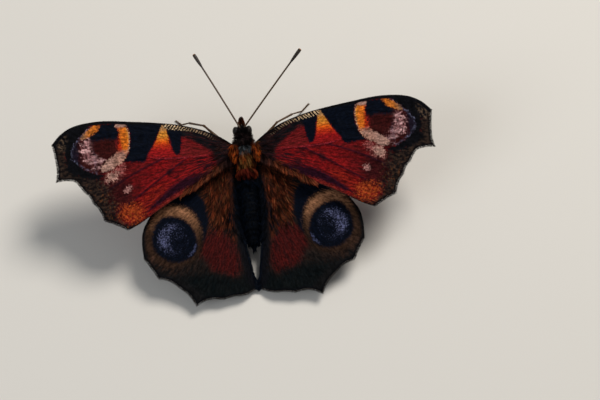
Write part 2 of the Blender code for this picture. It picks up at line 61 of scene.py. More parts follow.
# Wings: outline, veins and bend are those of the solids
FOREWING = {
    "root": (2.8, 2.0, 0.9),
    "dihedral": math.radians(12.0),
    "droop": 0.0012,
    "arch": 0.006,
    "arch_line": -3.0,
    "inner_fold": 0.0,
    "costa": (
        (-0.9, 0.9), (0.6, 1.95), (2.4, 2.85), (4.4, 3.75), (8.0, 4.75), (11.5, 5.3), (16.0, 5.75),
        (21.0, 6.1), (25.2, 5.6), (27.8, 4.35), (29.7, 2.4),
    ),
    "margin": {
        "R5": ((29.3, -0.5), 0.05),
        "M1": ((29.5, -4.1), 0.2),
        "M2": ((26.4, -4.15), 0.2),
        "M3": ((25.1, -6.0), 0.1),
        "CuA1": ((23.7, -8.0), 0.25),
        "CuA2": ((22.05, -11.1), 0.3),
        "2A": ((18.2, -12.85), 0.1),
    },
    "inner": ((16.4, -12.0), (14.9, -11.1), (11.4, -8.9), (7.9, -7.0), (4.0, -4.6), (0.9, -2.4), (-0.9,
                                                                                                  -1.4)),
    "veins": {
        "Sc": ((-0.4, 0.3), (2.6, 2.0), (6.5, 3.75), (10.5, 4.6), (14.2, 5.4)),
        "R": ((-0.4, -0.1), (3.5, 1.7), (7.0, 2.9), (10.4, 3.5), (13.4, 3.5)),
        "R1": ((10.4, 3.5), (14.5, 4.6), (19.8, 5.85)),
        "R3": ((13.4, 3.5), (18.5, 4.0), (24.2, 4.6), (28.3, 3.9)),
        "R5": ((18.5, 4.0), (24.4, 2.6), (29.3, -0.5)),
        "M1": ((13.4, 3.5), (18.6, 2.9), (22.8, 1.9), (25.6, 0.1), (29.5, -4.1)),
        "M2": ((13.9, 1.5), (19.4, 0.4), (23.2, -1.3), (26.4, -4.15)),
        "cross": ((13.4, 3.5), (13.9, 1.5), (14.0, -0.55)),
        "Cu": ((-0.4, -0.5), (3.5, -0.8), (7.0, -1.0), (11.3, -1.05), (14.0, -0.55)),
        "M3": ((14.0, -0.55), (17.5, -1.1), (21.4, -2.7), (25.1, -6.0)),
        "CuA1": ((11.3, -1.05), (15.5, -2.9), (19.5, -5.1), (23.7, -8.0)),
        "CuA2": ((7.0, -1.0), (11.0, -3.7), (16.5, -7.6), (22.05, -11.1)),
        "2A": ((-0.3, -0.9), (4.8, -3.1), (9.0, -5.5), (13.5, -9.0), (18.2, -12.85)),
    },
}
HINDWING = {
    "root": (2.5, -0.3, -0.35),
    "dihedral": math.radians(9.0),
    "droop": 0.0022,
    "arch": 0.0016,
    "arch_line": 0.0,
    "inner_fold": 0.05,
    "costa": (
        (-1.1, 0.7), (0.8, 1.45), (3.4, 1.3), (6.8, 0.0), (10.2, -2.6), (13.0, -5.8), (14.9, -8.6),
        (15.95, -10.5), (16.3, -12.7), (16.2, -15.3),
    ),
    "margin": {
        "M1": ((14.1, -18.8), 0.05),
        "M2": ((10.9, -20.45), 0.35),
        "M3": ((8.15, -23.95), 0.35),
        "CuA1": ((3.6, -23.2), 0.6),
        "CuA2": ((0.2, -22.8), 0.15),
        "2A": ((-2.3, -21.7), -0.15),
    },
    "inner": (
        (-2.35, -20.4), (-1.95, -18.0), (-1.4, -15.0), (-0.95, -12.5), (-0.55, -9.5), (-0.6, -5.0), (-1.0,
                                                                                                     -1.6),
    ),
    "veins": {
        "Sc": ((-0.3, 0.1), (4.2, -0.1), (9.8, -3.9), (15.3, -10.6)),
        "R": ((-0.3, -0.1), (3.6, -2.3), (6.6, -5.6), (7.6, -7.2)),
        "Rs": ((3.6, -2.3), (9.4, -6.6), (13.8, -11.2), (16.2, -15.3)),
        "M1": ((7.6, -7.2), (11.4, -12.9), (14.1, -18.8)),
        "M2": ((7.6, -9.0), (9.8, -14.5), (10.9, -20.45)),
        "cross": ((7.6, -7.2), (7.6, -9.0), (5.6, -11.2), (3.7, -11.4)),
        "M3": ((5.6, -11.2), (7.3, -17.3), (8.15, -23.95)),
        "Cu": ((-0.3, -0.4), (1.7, -5.0), (3.1, -9.0), (3.7, -11.4)),
        "CuA1": ((3.7, -11.4), (4.2, -17.2), (3.6, -23.2)),
        "CuA2": ((3.1, -9.0), (1.9, -15.8), (0.2, -22.8)),
        "2A": ((-0.1, -0.7), (0.6, -8.0), (-0.2, -15.5), (-2.3, -21.7)),
    },
}
LATTICE = 0.2  # between the points of the wing's mesh
MEMBRANE = 0.1  # thickness, with its scales
RIM = 0.05  # thickness at the margin
VEIN_RADIUS = (0.15, 0.055)  # at the root and at the margin
PLEAT = 0.13  # how far the membrane sinks between two veins
PLEAT_REACH = 1.1

# Head and trunk, as in the solids: centre and half sizes of each rounded mass
HEAD = ((0.0, 5.0, 0.1), (1.2, 1.0, 1.2))
FACE = ((0.0, 5.65, -0.2), (0.75, 0.6, 0.85))
EYE = ((1.12, 5.25, 0.15), (0.58, 0.82, 0.95))
MIDDLE_THORAX = ((0.0, 0.35, -0.15), (2.1, 2.9, 2.35))
HIND_THORAX = ((0.0, -1.7, -0.25), (1.75, 1.6, 2.0))
COLLAR = ((0.0, 3.2, 0.0), (1.7, 1.25, 1.55))
NECK = ((0.0, 4.2, 0.0), (1.0, 0.6, 1.0))
TEGULA = ((1.9, 1.25, 2.06), (0.38, 1.5, 0.85))
TEGULA_LEAN = math.radians(-60.0)
ABDOMEN_FRONT = (-2.4, -0.5)
ABDOMEN_LENGTH = 12.8
ABDOMEN_SAG = 1.1
ABDOMEN_RADII = ((0.0, 1.05), (0.12, 1.4), (0.3, 1.62), (0.5, 1.65), (0.7, 1.45), (0.88, 1.0), (1.0, 0.3))
ABDOMEN_RINGS = 8
RING_GROOVE = 0.05
COAT_DEPTH = {"head": 0.22, "thorax": 0.32, "abdomen": 0.1}
SKIN_VOXEL = 0.085

# Feelers, palps and tongue
ANTENNA_ROOT = (0.4, 5.7, 0.85)
ANTENNA_TIPS = {"left": (-6.95, 19.2, 1.1), "right": (11.1, 17.6, 4.0)}
ANTENNA_BOW = 0.35
ANTENNA_JOINTS = 38
SHAFT_RADIUS = 0.15
CLUB_RADIUS = 0.31
CLUB_SHARE = 0.17
PALP_PATH = ((0.42, 5.0, -0.6), (0.42, 5.9, -1.35), (0.33, 6.7, -1.05), (0.22, 7.2, -0.3), (0.13, 7.45, 0.25))
PALP_RADII = (0.18, 0.22, 0.21, 0.16, 0.07)
TONGUE_CENTRE = (0.0, 5.2, -2.5)
TONGUE_ROOT = ((0.0, 4.9, -0.6), (0.0, 5.0, -1.3))
TONGUE_RADIUS = (0.82, 0.3)  # of the coil's outer and inner turn
TONGUE_TURNS = 2.6
TONGUE_WIRE = (0.13, 0.07)

# Legs, as in the solids. The tarsus lies along the floor from its touchdown on.
LEG_ROOTS = {
    "middle_leg": ((0.75, 1.5, -1.2), (1.15, 1.75, -2.1), (1.7, 2.4, -2.6)),
    "hind_leg": ((0.7, -1.1, -1.2), (1.05, -1.35, -2.2), (1.6, -1.9, -2.75)),
}
LEG_JOINTS = {
    "middle_leg_left": ((6.4, 7.6, 7.5), (8.9, 10.9, 2.9), (11.1, 13.0, 0.2)),
    "middle_leg_right": ((6.2, 6.9, 7.6), (9.4, 10.7, 3.1), (12.7, 14.0, 0.2)),
    "hind_leg_left": ((5.6, -5.2, 3.7), (8.4, -8.4, 1.6), (9.9, -11.6, 0.2)),
    "hind_leg_right": ((5.6, -5.0, 3.7), (8.2, -8.1, 1.6), (9.6, -11.3, 0.2)),
}
HIP_RADIUS = 0.3
FEMUR = ((0.04, 0.2), (0.12, 0.26), (0.4, 0.29), (0.7, 0.25), (0.92, 0.18), (0.98, 0.2))
TIBIA = ((0.02, 0.2), (0.06, 0.15), (0.3, 0.16), (0.7, 0.17), (0.93, 0.19), (0.99, 0.15))
TARSUS_SHARES = (0.0, 0.42, 0.6, 0.74, 0.87, 1.0)  # the first joint is the longest
TARSUS_JOINT = ((0.02, 0.09), (0.2, 0.115), (0.8, 0.135), (0.97, 0.15))
TARSUS_TOUCHDOWN = 0.6
SOLE_HEIGHT = 0.16
BRUSH_LEG = ((0.55, 2.6, -1.3), (0.95, 3.1, -2.2), (1.5, 3.75, -2.75), (1.6, 3.2, -3.3), (1.45, 2.2, -3.6))
BRUSH_RADII = (0.2, 0.2, 0.16, 0.18, 0.07)

# What each marking covers on the forewing's plan: a closed shape, or a line with its half width at each point
FOREWING_MARKS = {
    "dusk": [(14.6, -1.6), (17.8, -1.4), (21.8, -3.4), (20.8, -6.5), (19.8, -9.2), (17.6, -8.4), (16.2, -6.2),
             (15.2, -3.8)],
    "shade": [(17.9, -5.0), (20.6, -3.6), (22.0, -6.0), (21.0, -9.5), (19.8, -9.2), (18.8, -8.3), (17.4,
                                                                                                   -8.2)],
    "ember": [(11.5, -5.6), (13.6, -6.2), (15.6, -7.8), (16.4, -9.4), (15.4, -11.0), (13.4, -9.2), (11.6,
                                                                                                    -7.4)],
    "ochre": [(15.9, -9.0), (17.2, -8.7), (18.6, -9.0), (19.1, -10.1), (18.2, -11.2), (16.4, -11.4), (15.6,
                                                                                                      -10.4)],
    "inner_brown": ([(1.8, -3.2), (4.4, -4.9), (7.0, -6.2)], [0.5, 0.9, 0.5]),
    "dusky_band": ([(3.2, -3.9), (5.6, -4.8), (8.4, -5.9), (11.2, -7.5), (13.8, -9.3)], [0.3, 0.55, 0.8,
                                                                                         0.6, 0.15]),
    "inner_strip": ([(6.0, -6.1), (8.6, -7.1), (11.6, -8.9), (14.2, -10.7)], [0.15, 0.35, 0.4, 0.2]),
    "small_dark": [(9.8, -2.7), (10.6, -2.9), (11.0, -3.7), (10.5, -4.1), (9.9, -3.5)],
    "inner_dark": [(8.0, -2.0), (8.8, -2.1), (9.2, -2.6), (8.6, -2.9), (8.1, -2.5)],
    "cell_red": [(3.0, -0.6), (4.2, 0.4), (5.6, 1.4), (6.8, 2.15), (7.7, 2.0), (7.95, 0.6), (8.4, -0.7),
                 (5.6, -0.8)],
    "bar": [(7.75, 3.8), (10.1, 4.1), (9.85, 2.4), (9.55, 0.7), (9.05, -0.4), (8.4, -0.35), (8.0, 0.9),
            (7.8, 2.4)],
    "wedge": [(10.3, 4.5), (10.5, 5.15), (11.2, 5.1), (11.9, 2.95), (12.6, 1.6), (13.5, 0.3), (14.2, -0.7),
              (11.5, -0.9), (9.3, -0.7), (9.75, 1.0), (10.05, 2.8)],
    "patch": [(11.1, 5.9), (17.0, 6.3), (16.65, 4.4), (16.55, 3.0), (16.8, 1.3), (17.3, -0.1), (18.0, -1.1),
              (16.0, -1.35), (14.4, -1.3), (13.9, -0.3), (13.0, 1.1), (12.0, 2.9)],
    "oval": [(17.4, 5.5), (16.75, 4.3), (16.6, 3.0), (16.8, 1.4), (17.3, 0.0), (18.3, -1.3), (20.4, -2.6),
             (22.1, -3.15), (24.0, -2.6), (25.6, -1.5), (26.7, -0.2), (26.6, 1.4), (25.9, 2.6), (24.9, 3.6),
             (23.6, 4.8), (22.5, 5.5), (20.0, 5.6)],
    "crescent": [(17.3, 5.5), (16.75, 4.3), (16.6, 3.0), (16.8, 1.4), (17.3, 0.0), (18.3, -1.3), (20.4,
                                                                                                  -2.55),
                 (21.6, -2.75), (21.9, -2.1), (21.4, -1.4), (20.4, -0.6), (19.2, 0.3), (18.75, 1.4), (18.5,
                                                                                                      3.0),
                 (18.4, 4.2), (18.9, 5.4)],
    "eye_black": [(18.5, 5.6), (21.7, 5.5), (22.4, 4.3), (23.4, 3.2), (22.6, 2.7), (20.8, 2.9), (18.9, 2.8),
                  (18.4, 4.0)],
    "eye_wine": [(18.6, 3.0), (18.8, 1.4), (19.4, 0.5), (20.8, 0.0), (22.3, 0.3), (22.9, 1.4), (22.8, 2.7),
                 (20.8, 3.0)],
    "second": [(21.4, 5.5), (22.5, 5.35), (23.6, 4.6), (24.5, 3.8), (24.8, 3.15), (24.0, 3.2), (23.0, 3.8),
               (21.9, 4.5)],
    "lilac": [(23.3, 2.8), (24.0, 2.7), (24.6, 1.8), (24.7, 0.8), (24.4, -0.4), (23.5, -1.2), (22.4, -2.0),
              (21.6, -1.3), (22.5, -0.3), (23.3, 0.7), (23.3, 1.8)],
    "lower_black": [(21.6, -3.3), (23.8, -2.7), (25.4, -1.7), (26.8, -0.3), (27.6, -2.2), (25.0, -3.6),
                    (22.4, -4.0)],
    "big_spot": [(19.3, -2.9), (20.2, -2.95), (20.9, -3.6), (20.8, -4.3), (20.0, -4.35), (19.4, -3.8)],
    "spot_glow": [(17.9, -1.9), (19.2, -2.2), (20.6, -2.9), (21.0, -4.3), (19.8, -4.5), (18.6, -3.4)],
    "small_spot": [(17.15, -5.6), (17.7, -5.55), (18.2, -6.1), (17.95, -6.5), (17.35, -6.3)],
    "apex": [(22.6, 6.3), (30.5, 5.5), (30.5, 2.4), (28.2, 1.2), (27.0, 0.2), (26.4, 2.2), (24.9, 3.7),
             (23.7, 5.0)],
    "border": [(25.2, 4.4), (30.5, 5.5), (30.5, -5.0), (24.5, -8.6), (22.6, -12.5), (18.0, -14.0), (15.6,
                                                                                                    -12.2),
               (17.5, -11.7), (19.1, -10.7), (20.0, -8.9), (20.6, -7.1), (21.0, -5.2), (21.9, -3.4), (24.0,
                                                                                                      -2.6),
               (25.6, -1.5), (26.7, -0.2), (26.6, 1.4), (25.9, 2.8)],
    "base": [(-1.2, 2.0), (2.6, 3.2), (6.4, 4.3), (10.2, 4.9), (10.2, 3.8), (7.5, 2.35), (6.2, 1.75), (4.8,
                                                                                                       0.9),
             (3.6, 0.0), (2.6, -0.8), (2.2, -2.0), (2.0, -4.4), (-1.2, -4.0)],
    "costal": [(2.3, 1.75), (4.4, 2.95), (7.0, 3.65), (10.3, 4.2), (10.5, 5.0), (8.0, 4.6), (4.4, 3.5),
               (2.0, 2.2)],
    "front": (FOREWING["costa"], [0.3, 0.3, 0.3, 0.28, 0.28, 0.35, 0.5, 0.55, 0.6, 0.6, 0.6]),
    "bright_vein": ([(3.0, -0.75), (7.0, -1.0), (11.3, -1.02), (13.8, -0.7)], [0.07, 0.1, 0.1, 0.05]),
}
HINDWING_MARKS = {
    "red": [(3.6, -11.2), (5.4, -12.2), (6.3, -13.2), (6.9, -15.0), (6.6, -16.8), (5.2, -18.0), (3.0, -18.8),
            (0.9, -19.2), (0.1, -17.4), (0.3, -14.9), (1.2, -13.2), (2.4, -11.8)],
    "patch": [(4.9, -9.9), (5.1, -8.0), (5.3, -6.4), (6.1, -5.2), (7.4, -4.6), (12.0, -5.4), (15.6, -8.8),
              (15.0, -9.4), (13.0, -7.0), (10.8, -6.4), (8.5, -7.1), (7.1, -8.5), (6.4, -10.7), (6.4, -13.2),
              (5.9, -13.0)],
    "ring": [(6.3, -10.7), (7.1, -8.5), (8.5, -7.1), (10.8, -6.4), (13.2, -7.0), (15.0, -9.2), (15.9, -11.6),
             (15.9, -13.8), (15.2, -15.6), (13.6, -17.0), (11.4, -17.5), (9.0, -17.0), (7.2, -15.8), (6.3,
                                                                                                      -13.4)],
    "disc": [(7.1, -12.6), (7.6, -10.7), (8.9, -9.15), (10.5, -8.4), (12.4, -8.4), (13.7, -9.5), (14.5,
                                                                                                  -11.5),
             (14.5, -13.4), (13.5, -15.0), (12.0, -16.0), (10.1, -16.2), (8.2, -15.6), (7.2, -14.2)],
    "blue": ([(10.6, -10.0), (12.0, -10.6), (12.7, -12.2), (12.2, -13.8), (10.9, -14.5)], [0.6, 0.95, 1.15,
                                                                                           0.9, 0.4]),
    "hollow": ([(9.6, -12.9), (10.6, -13.2)], [0.9, 0.7]),
    "dust": [(9.2, -10.4), (10.8, -9.5), (12.6, -10.0), (13.7, -11.6), (13.6, -13.6), (12.2, -15.1), (10.2,
                                                                                                      -15.2),
             (9.0, -14.0), (8.7, -12.0)],
    "streak": ([(7.35, -13.4), (7.8, -14.5), (8.7, -15.4)], [0.1, 0.16, 0.1]),
    "brown": [(-0.6, -0.5), (2.0, -1.0), (4.8, -3.4), (5.6, -4.9), (5.2, -7.0), (4.8, -9.6), (4.4, -11.6),
              (2.0, -12.4), (0.6, -13.5), (0.2, -10.0)],
    "outer_dark": ([(15.9, -9.6), (16.4, -12.0), (16.3, -15.2), (14.4, -18.4), (11.0, -20.0), (8.0, -23.0)],
                   [0.4, 0.5, 0.5, 1.0, 1.2, 1.4]),
    "border": [(18.0, -15.8), (15.6, -16.4), (13.0, -18.1), (10.0, -18.7), (7.6, -18.4), (5.2, -18.6), (3.0,
        -19.4),
               (0.8, -19.9), (-0.6, -19.0), (-3.5, -17.0), (-3.5, -24.5), (8.0, -26.0), (18.0, -20.0)],
    "dusky_low": [(6.4, -15.8), (8.2, -16.6), (11.0, -17.2), (13.6, -16.4), (15.2, -15.0), (15.4, -17.0),
                  (13.0, -18.8), (9.6, -19.4), (6.4, -18.8), (5.4, -17.6)],
    "inner_dark": ([(-0.9, -2.0), (-0.7, -6.0), (-0.8, -11.0), (-1.2, -15.0), (-2.2, -20.0)],
                   [0.7, 0.9, 1.1, 1.2, 1.4]),
    "costal_dark": ([(2.0, 1.4), (7.0, 0.0), (12.0, -4.0), (15.6, -8.8)], [1.2, 2.2, 1.4, 0.3]),
}

# Colours of scales and hair, linear
BLACK = (0.0026, 0.0028, 0.0042)
BLUE_BLACK = (0.0016, 0.0030, 0.0075)
BROWN_BLACK = (0.0165, 0.0100, 0.0075)
CRIMSON = (0.190, 0.0058, 0.0068)
DEEP_CRIMSON = (0.066, 0.0034, 0.0048)
BRIGHT_CRIMSON = (0.30, 0.0085, 0.0088)
EMBER = (0.22, 0.0145, 0.0060)
OCHRE = (0.29, 0.046, 0.010)
CREAM = (0.39, 0.20, 0.080)
YELLOW = (0.53, 0.192, 0.024)
WARM_YELLOW = (0.55, 0.130, 0.012)
ORANGE = (0.60, 0.088, 0.007)
DEEP_ORANGE = (0.30, 0.020, 0.005)
PALE = (0.36, 0.205, 0.165)
LILAC = (0.59, 0.335, 0.335)
RIM_LILAC = (0.090, 0.098, 0.155)
NAVY = (0.0085, 0.0055, 0.0120)
WINE = (0.030, 0.0042, 0.0040)
PLUM = (0.0175, 0.0030, 0.0085)
BLUE = (0.085, 0.093, 0.180)
TAN = (0.255, 0.118, 0.060)
HAIR_BROWN = (0.075, 0.0175, 0.0060)
DARK_RED = (0.056, 0.0055, 0.0048)

# Hair of the body
HEAD_DARK = (0.0085, 0.0065, 0.0065)
COLLAR_BROWN = (0.017, 0.010, 0.010)
# Grey hair at the front of the thorax, made bluer as a painted sheen of the glossy chitin under it
STEEL_AND_SHEEN = (0.052, 0.062, 0.070)
GOLD = (0.23, 0.105, 0.030)
RUSSET = (0.12, 0.016, 0.009)
BELLY_BROWN = (0.020, 0.013, 0.010)
ABDOMEN_BLACK = (0.0021, 0.0044, 0.0092)
LEG_BROWN = (0.11, 0.055, 0.022)


def smooth(points, step):
    """Points every step or so along a smooth curve through the ones given."""
    knots = [Vector(p) for p in points]
    ends = [2 * knots[0] - knots[1], *knots, 2 * knots[-1] - knots[-2]]
    made = []
    for before, start, end, after in zip(ends, ends[1:], ends[2:], ends[3:]):
        count = max(1, round((end - start).length / step))
        for i in range(count):
            t = i / count
            made.append(
                0.5
                * (
                    2 * start
                    + (end - before) * t
                    + (2 * before - 5 * start + 4 * end - after) * t**2
                    + (3 * start - before - 3 * end + after) * t**3
                )
            )
    return [*made, knots[-1]]


def as_array(points):
    return np.array([tuple(p) for p in points], float)


def unit(vectors):
    return vectors / np.maximum(np.linalg.norm(vectors, axis=-1, keepdims=True), 1e-12)


def carried(points, matrix):
    """The points moved by a 4 by 4 matrix."""
    m = np.array(matrix)
    return points @ m[:3, :3].T + m[:3, 3]


def to_line(points, line):
    """How far each point is from a line of points, and how far along the line that is, in its own units."""
    starts, spans = line[:-1], line[1:] - line[:-1]
    lengths = np.linalg.norm(spans, axis=1)
    run = np.concatenate([[0], np.cumsum(lengths)])
    best = np.full(len(points), 1e9)
    along = np.zeros(len(points))
    for start, span, length, before in zip(starts, spans, lengths, run):
        share = np.clip(((points - start) @ span) / max(length**2, 1e-12), 0, 1)
        gap = np.linalg.norm(points - start - share[:, None] * span, axis=1)
        nearer = gap < best
        best[nearer] = gap[nearer]
        along[nearer] = before + share[nearer] * length
    return best, along


def inside(points, outline):
    crossings = np.zeros(len(points), int)
    for a, b in zip(outline, np.roll(outline, -1, axis=0)):
        straddles = (a[1] > points[:, 1]) != (b[1] > points[:, 1])
        if a[1] != b[1]:
            crossings += straddles & (points[:, 0] < a[0] + (points[:,
                1] - a[1]) / (b[1] - a[1]) * (b[0] - a[0]))
    return crossings % 2 == 1


def depth_in(points, outline):
    """How deep each point is inside a closed shape, negative outside it."""
    gap, _ = to_line(points, np.vstack([outline, outline[:1]]))
    return np.where(inside(points, outline), gap, -gap)


def closed_smooth(points, step=0.25):
    ring = [*points[-2:], *points, *points[:2]]
    line = as_array(smooth(ring, step))
    starts = np.argmin(np.linalg.norm(line - points[0], axis=1))
    after = line[starts + 1:]
    ends = np.argmin(np.linalg.norm(after - points[0], axis=1))
    return line[starts:starts + 1 + ends]


def mark_depth(points, mark):
    """How deep each point is inside a marking, in mm."""
    if isinstance(mark, list):
        return depth_in(points, closed_smooth(mark))
    path, half_widths = mark
    line = as_array(smooth(path, 0.3))
    gap, along = to_line(points, line)
    _, knots = to_line(as_array(path), line)
    return np.interp(along, knots, half_widths) - gap


# Wings


def wing_edges(plan):
    """The outline, and how far the membrane stays inside it to leave room for the fringe."""
    costa = as_array(smooth(plan["costa"], 0.3))
    margin, insets = [], []
    start = costa[-1]
    for end, sag in plan["margin"].values():
        end = np.array(end)
        span = end - start
        inwards = np.array((span[1], -span[0])) / np.linalg.norm(span)
        count = max(4, round(np.linalg.norm(span) / 0.2))
        for i in range(1, count + 1):
            margin.append(start + span * i / count + inwards * sag * math.sin(math.pi * i / count))
        start = end
    inner = as_array(smooth((tuple(margin[-1]), *plan["inner"]), 0.3))[1:]
    outline = np.vstack([costa, margin, inner])
    insets = np.concatenate([np.full(len(costa), 0.03), np.full(len(margin), 0.3), np.full(len(inner), 0.02)])
    for _ in range(3):
        insets = (np.roll(insets, 1) + insets + np.roll(insets, -1)) / 3
    return outline, insets


def outward(outline):
    """The direction out of a clockwise outline at each of its points."""
    along = unit(np.roll(outline, -1, axis=0) - np.roll(outline, 1, axis=0))
    return np.stack([-along[:, 1], along[:, 0]], 1)


def wing_bend(plan, x, y):
    """How far the membrane bends out of its plane at a point."""
    out = np.clip(x / 10.0, 0, 1)
    bend = -plan["droop"] * x * x - plan["arch"] * out * (y - plan["arch_line"]) ** 2
    fold = np.maximum(0.0, 2.0 - x) ** 2 * np.clip(-y / 8.0, 0, 1)
    return bend - plan["inner_fold"] * fold


def hinge(plan, side):
    place = Matrix.Translation((side * plan["root"][0], plan["root"][1], plan["root"][2]))
    return place @ Matrix.Rotation(-side * plan["dihedral"], 4, "Y") @ Matrix.Diagonal((side, 1, 1, 1))


class Sheet:
    """A wing drawn flat: its points, its triangles, and what each point knows about veins and edge."""

    def __init__(self, plan):
        self.plan = plan
        full, insets = wing_edges(plan)
        self.outline = full - outward(full) * insets[:, None]
        self.veins = {name: as_array(smooth(path, 0.4)) for name, path in plan["veins"].items()}
        low, high = self.outline.min(0), self.outline.max(0)
        row_step = LATTICE * math.sin(math.pi / 3)
        rows, columns = np.mgrid[0:int((high[1] - low[1]) / row_step) + 1,
                                 0:int((high[0] - low[0]) / LATTICE) + 2]
        grid = np.stack([low[0] + (columns + 0.5 * (rows % 2)) * LATTICE, low[1] + rows * row_step], -1)
        grid = grid.reshape(-1, 2)
        grid = grid[depth_in(grid, self.outline) > 0.55 * LATTICE]
        points = [Vector(p) for p in (*self.outline, *grid)]
        rim = [(i, (i + 1) % len(self.outline)) for i in range(len(self.outline))]
        verts, _, faces, *_ = delaunay_2d_cdt(points, rim, [], 1, 1e-5)
        self.points = as_array(verts)
        self.faces = [tuple(face) for face in faces]
        self.edge = depth_in(self.points, self.outline)
        self.height()

    def height(self):
        """The bend of the middle surface and the half thickness at each point."""
        x, y = self.points.T
        crest = np.zeros(len(x))
        nearest = np.full(len(x), 1e9)
        for line in self.veins.values():
            gap, along = to_line(self.points, line)
            share = along / max(along.max(), 1e-9)
            radius = VEIN_RADIUS[0] + (VEIN_RADIUS[1] - VEIN_RADIUS[0]) * share
            rise = np.sqrt(np.clip(1 - (gap / (1.9 * radius)) ** 2, 0, 1)) * 0.7 * radius
            crest = np.maximum(crest, rise)
            nearest = np.minimum(nearest, gap)
        self.vein_gap = nearest
        sink = PLEAT * (1 - np.exp(-((nearest / PLEAT_REACH) ** 2)))
        near_rim = np.clip(self.edge / 1.2, 0, 1)
        self.middle = wing_bend(self.plan, x, y) - sink * near_rim
        thin = RIM / 2 + (MEMBRANE / 2 - RIM / 2) * np.clip(self.edge / 0.4, 0, 1)
        self.half = thin + crest * np.clip(0.25 + self.edge / 0.5, 0, 1)

    def place(self, side, points, lift):
        """Points of the plan set on the body, lift above the middle of the membrane."""
        z = wing_bend(self.plan, points[:, 0], points[:, 1]) + lift
        return carried(np.column_stack([points, z]), hinge(self.plan, side))


def store(mesh, name, values):
    """Keeps a number, or three, for each point of the mesh, for the nodes of its finish."""
    kind, key = ("FLOAT", "value") if values.ndim == 1 else ("FLOAT_VECTOR", "vector")
    layer = mesh.attributes.new(name, kind, "POINT")
    layer.data.foreach_set(key, values.astype(np.float32).ravel())


def wing(name, sheet, side, marks):
    """The wing as one closed mesh: an upper and a lower surface and the thin rim between them."""
    count = len(sheet.points)
    turn = hinge(sheet.plan, side)
    upper = carried(np.column_stack([sheet.points, sheet.middle + sheet.half]), turn)
    lower = carried(np.column_stack([sheet.points, sheet.middle - sheet.half]), turn)
    flip = side < 0
    faces = [tuple(reversed(f)) if flip else f for f in sheet.faces]
    edges = {}
    for f in faces:
        for a, b in zip(f, f[1:] + f[:1]):
            edges[(a, b)] = True
    rim = [(b, a, a + count, b + count) for a, b in edges if (b, a) not in edges]
    under = [tuple(i + count for i in reversed(f)) for f in faces]
    mesh = bpy.data.meshes.new(name)
    mesh.from_pydata(np.vstack([upper, lower]), [], [*faces, *rim, *under])
    mesh.update()
    piece = bpy.data.objects.new(name, mesh)
    bpy.context.scene.collection.objects.link(piece)
    both = np.vstack([sheet.points, sheet.points])
    reach = np.linalg.norm(both - (-1.0, 0.5), axis=1)
    bearing = np.arctan2(both[:, 1], both[:, 0] + 3.0)
    store(mesh, "plan", np.column_stack([both, np.full(len(both), 10.0 * side)]))
    store(mesh, "lie", np.column_stack([bearing * 12.0, reach, np.full(len(both), 10.0 * side)]))
    store(mesh, "edge", np.tile(sheet.edge, 2))
    store(mesh, "vein", np.tile(sheet.vein_gap, 2))
    for mark, shape in marks.items():
        store(mesh, mark, np.tile(mark_depth(sheet.points, shape), 2))
    uv = mesh.uv_layers.new(name="OFBake")
    low, high = sheet.points.min(0) - 0.4, sheet.points.max(0) + 0.4
    flat = (both - low) / (high - low) * (0.98, 0.48) + (0.01, 0.01)
    flat[count:, 1] += 0.5
    corners = np.zeros(len(mesh.loops), int)
    mesh.loops.foreach_get("vertex_index", corners)
    spots = flat[corners]
    first_rim = sum(len(f) for f in faces)
    rim_corners = np.arange(first_rim, first_rim + 4 * len(rim))
    outwards = np.zeros((count, 2))
    outwards[:len(sheet.outline)] = outward(sheet.outline)
    base = corners[rim_corners] % count
    push = np.where(corners[rim_corners] >= count, 0.15, 0.0)[:, None]
    spots[rim_corners] = (both[base] + outwards[base] * push - low) / (high - low) * (0.98, 0.48) + (0.01,
                                                                                                     0.01)
    uv.data.foreach_set("uv", spots.astype(np.float32).ravel())
    slots = np.zeros(len(mesh.polygons), int)
    slots[len(faces) + len(rim):] = 1
    mesh.polygons.foreach_set("material_index", slots)
    return piece


# Finishes


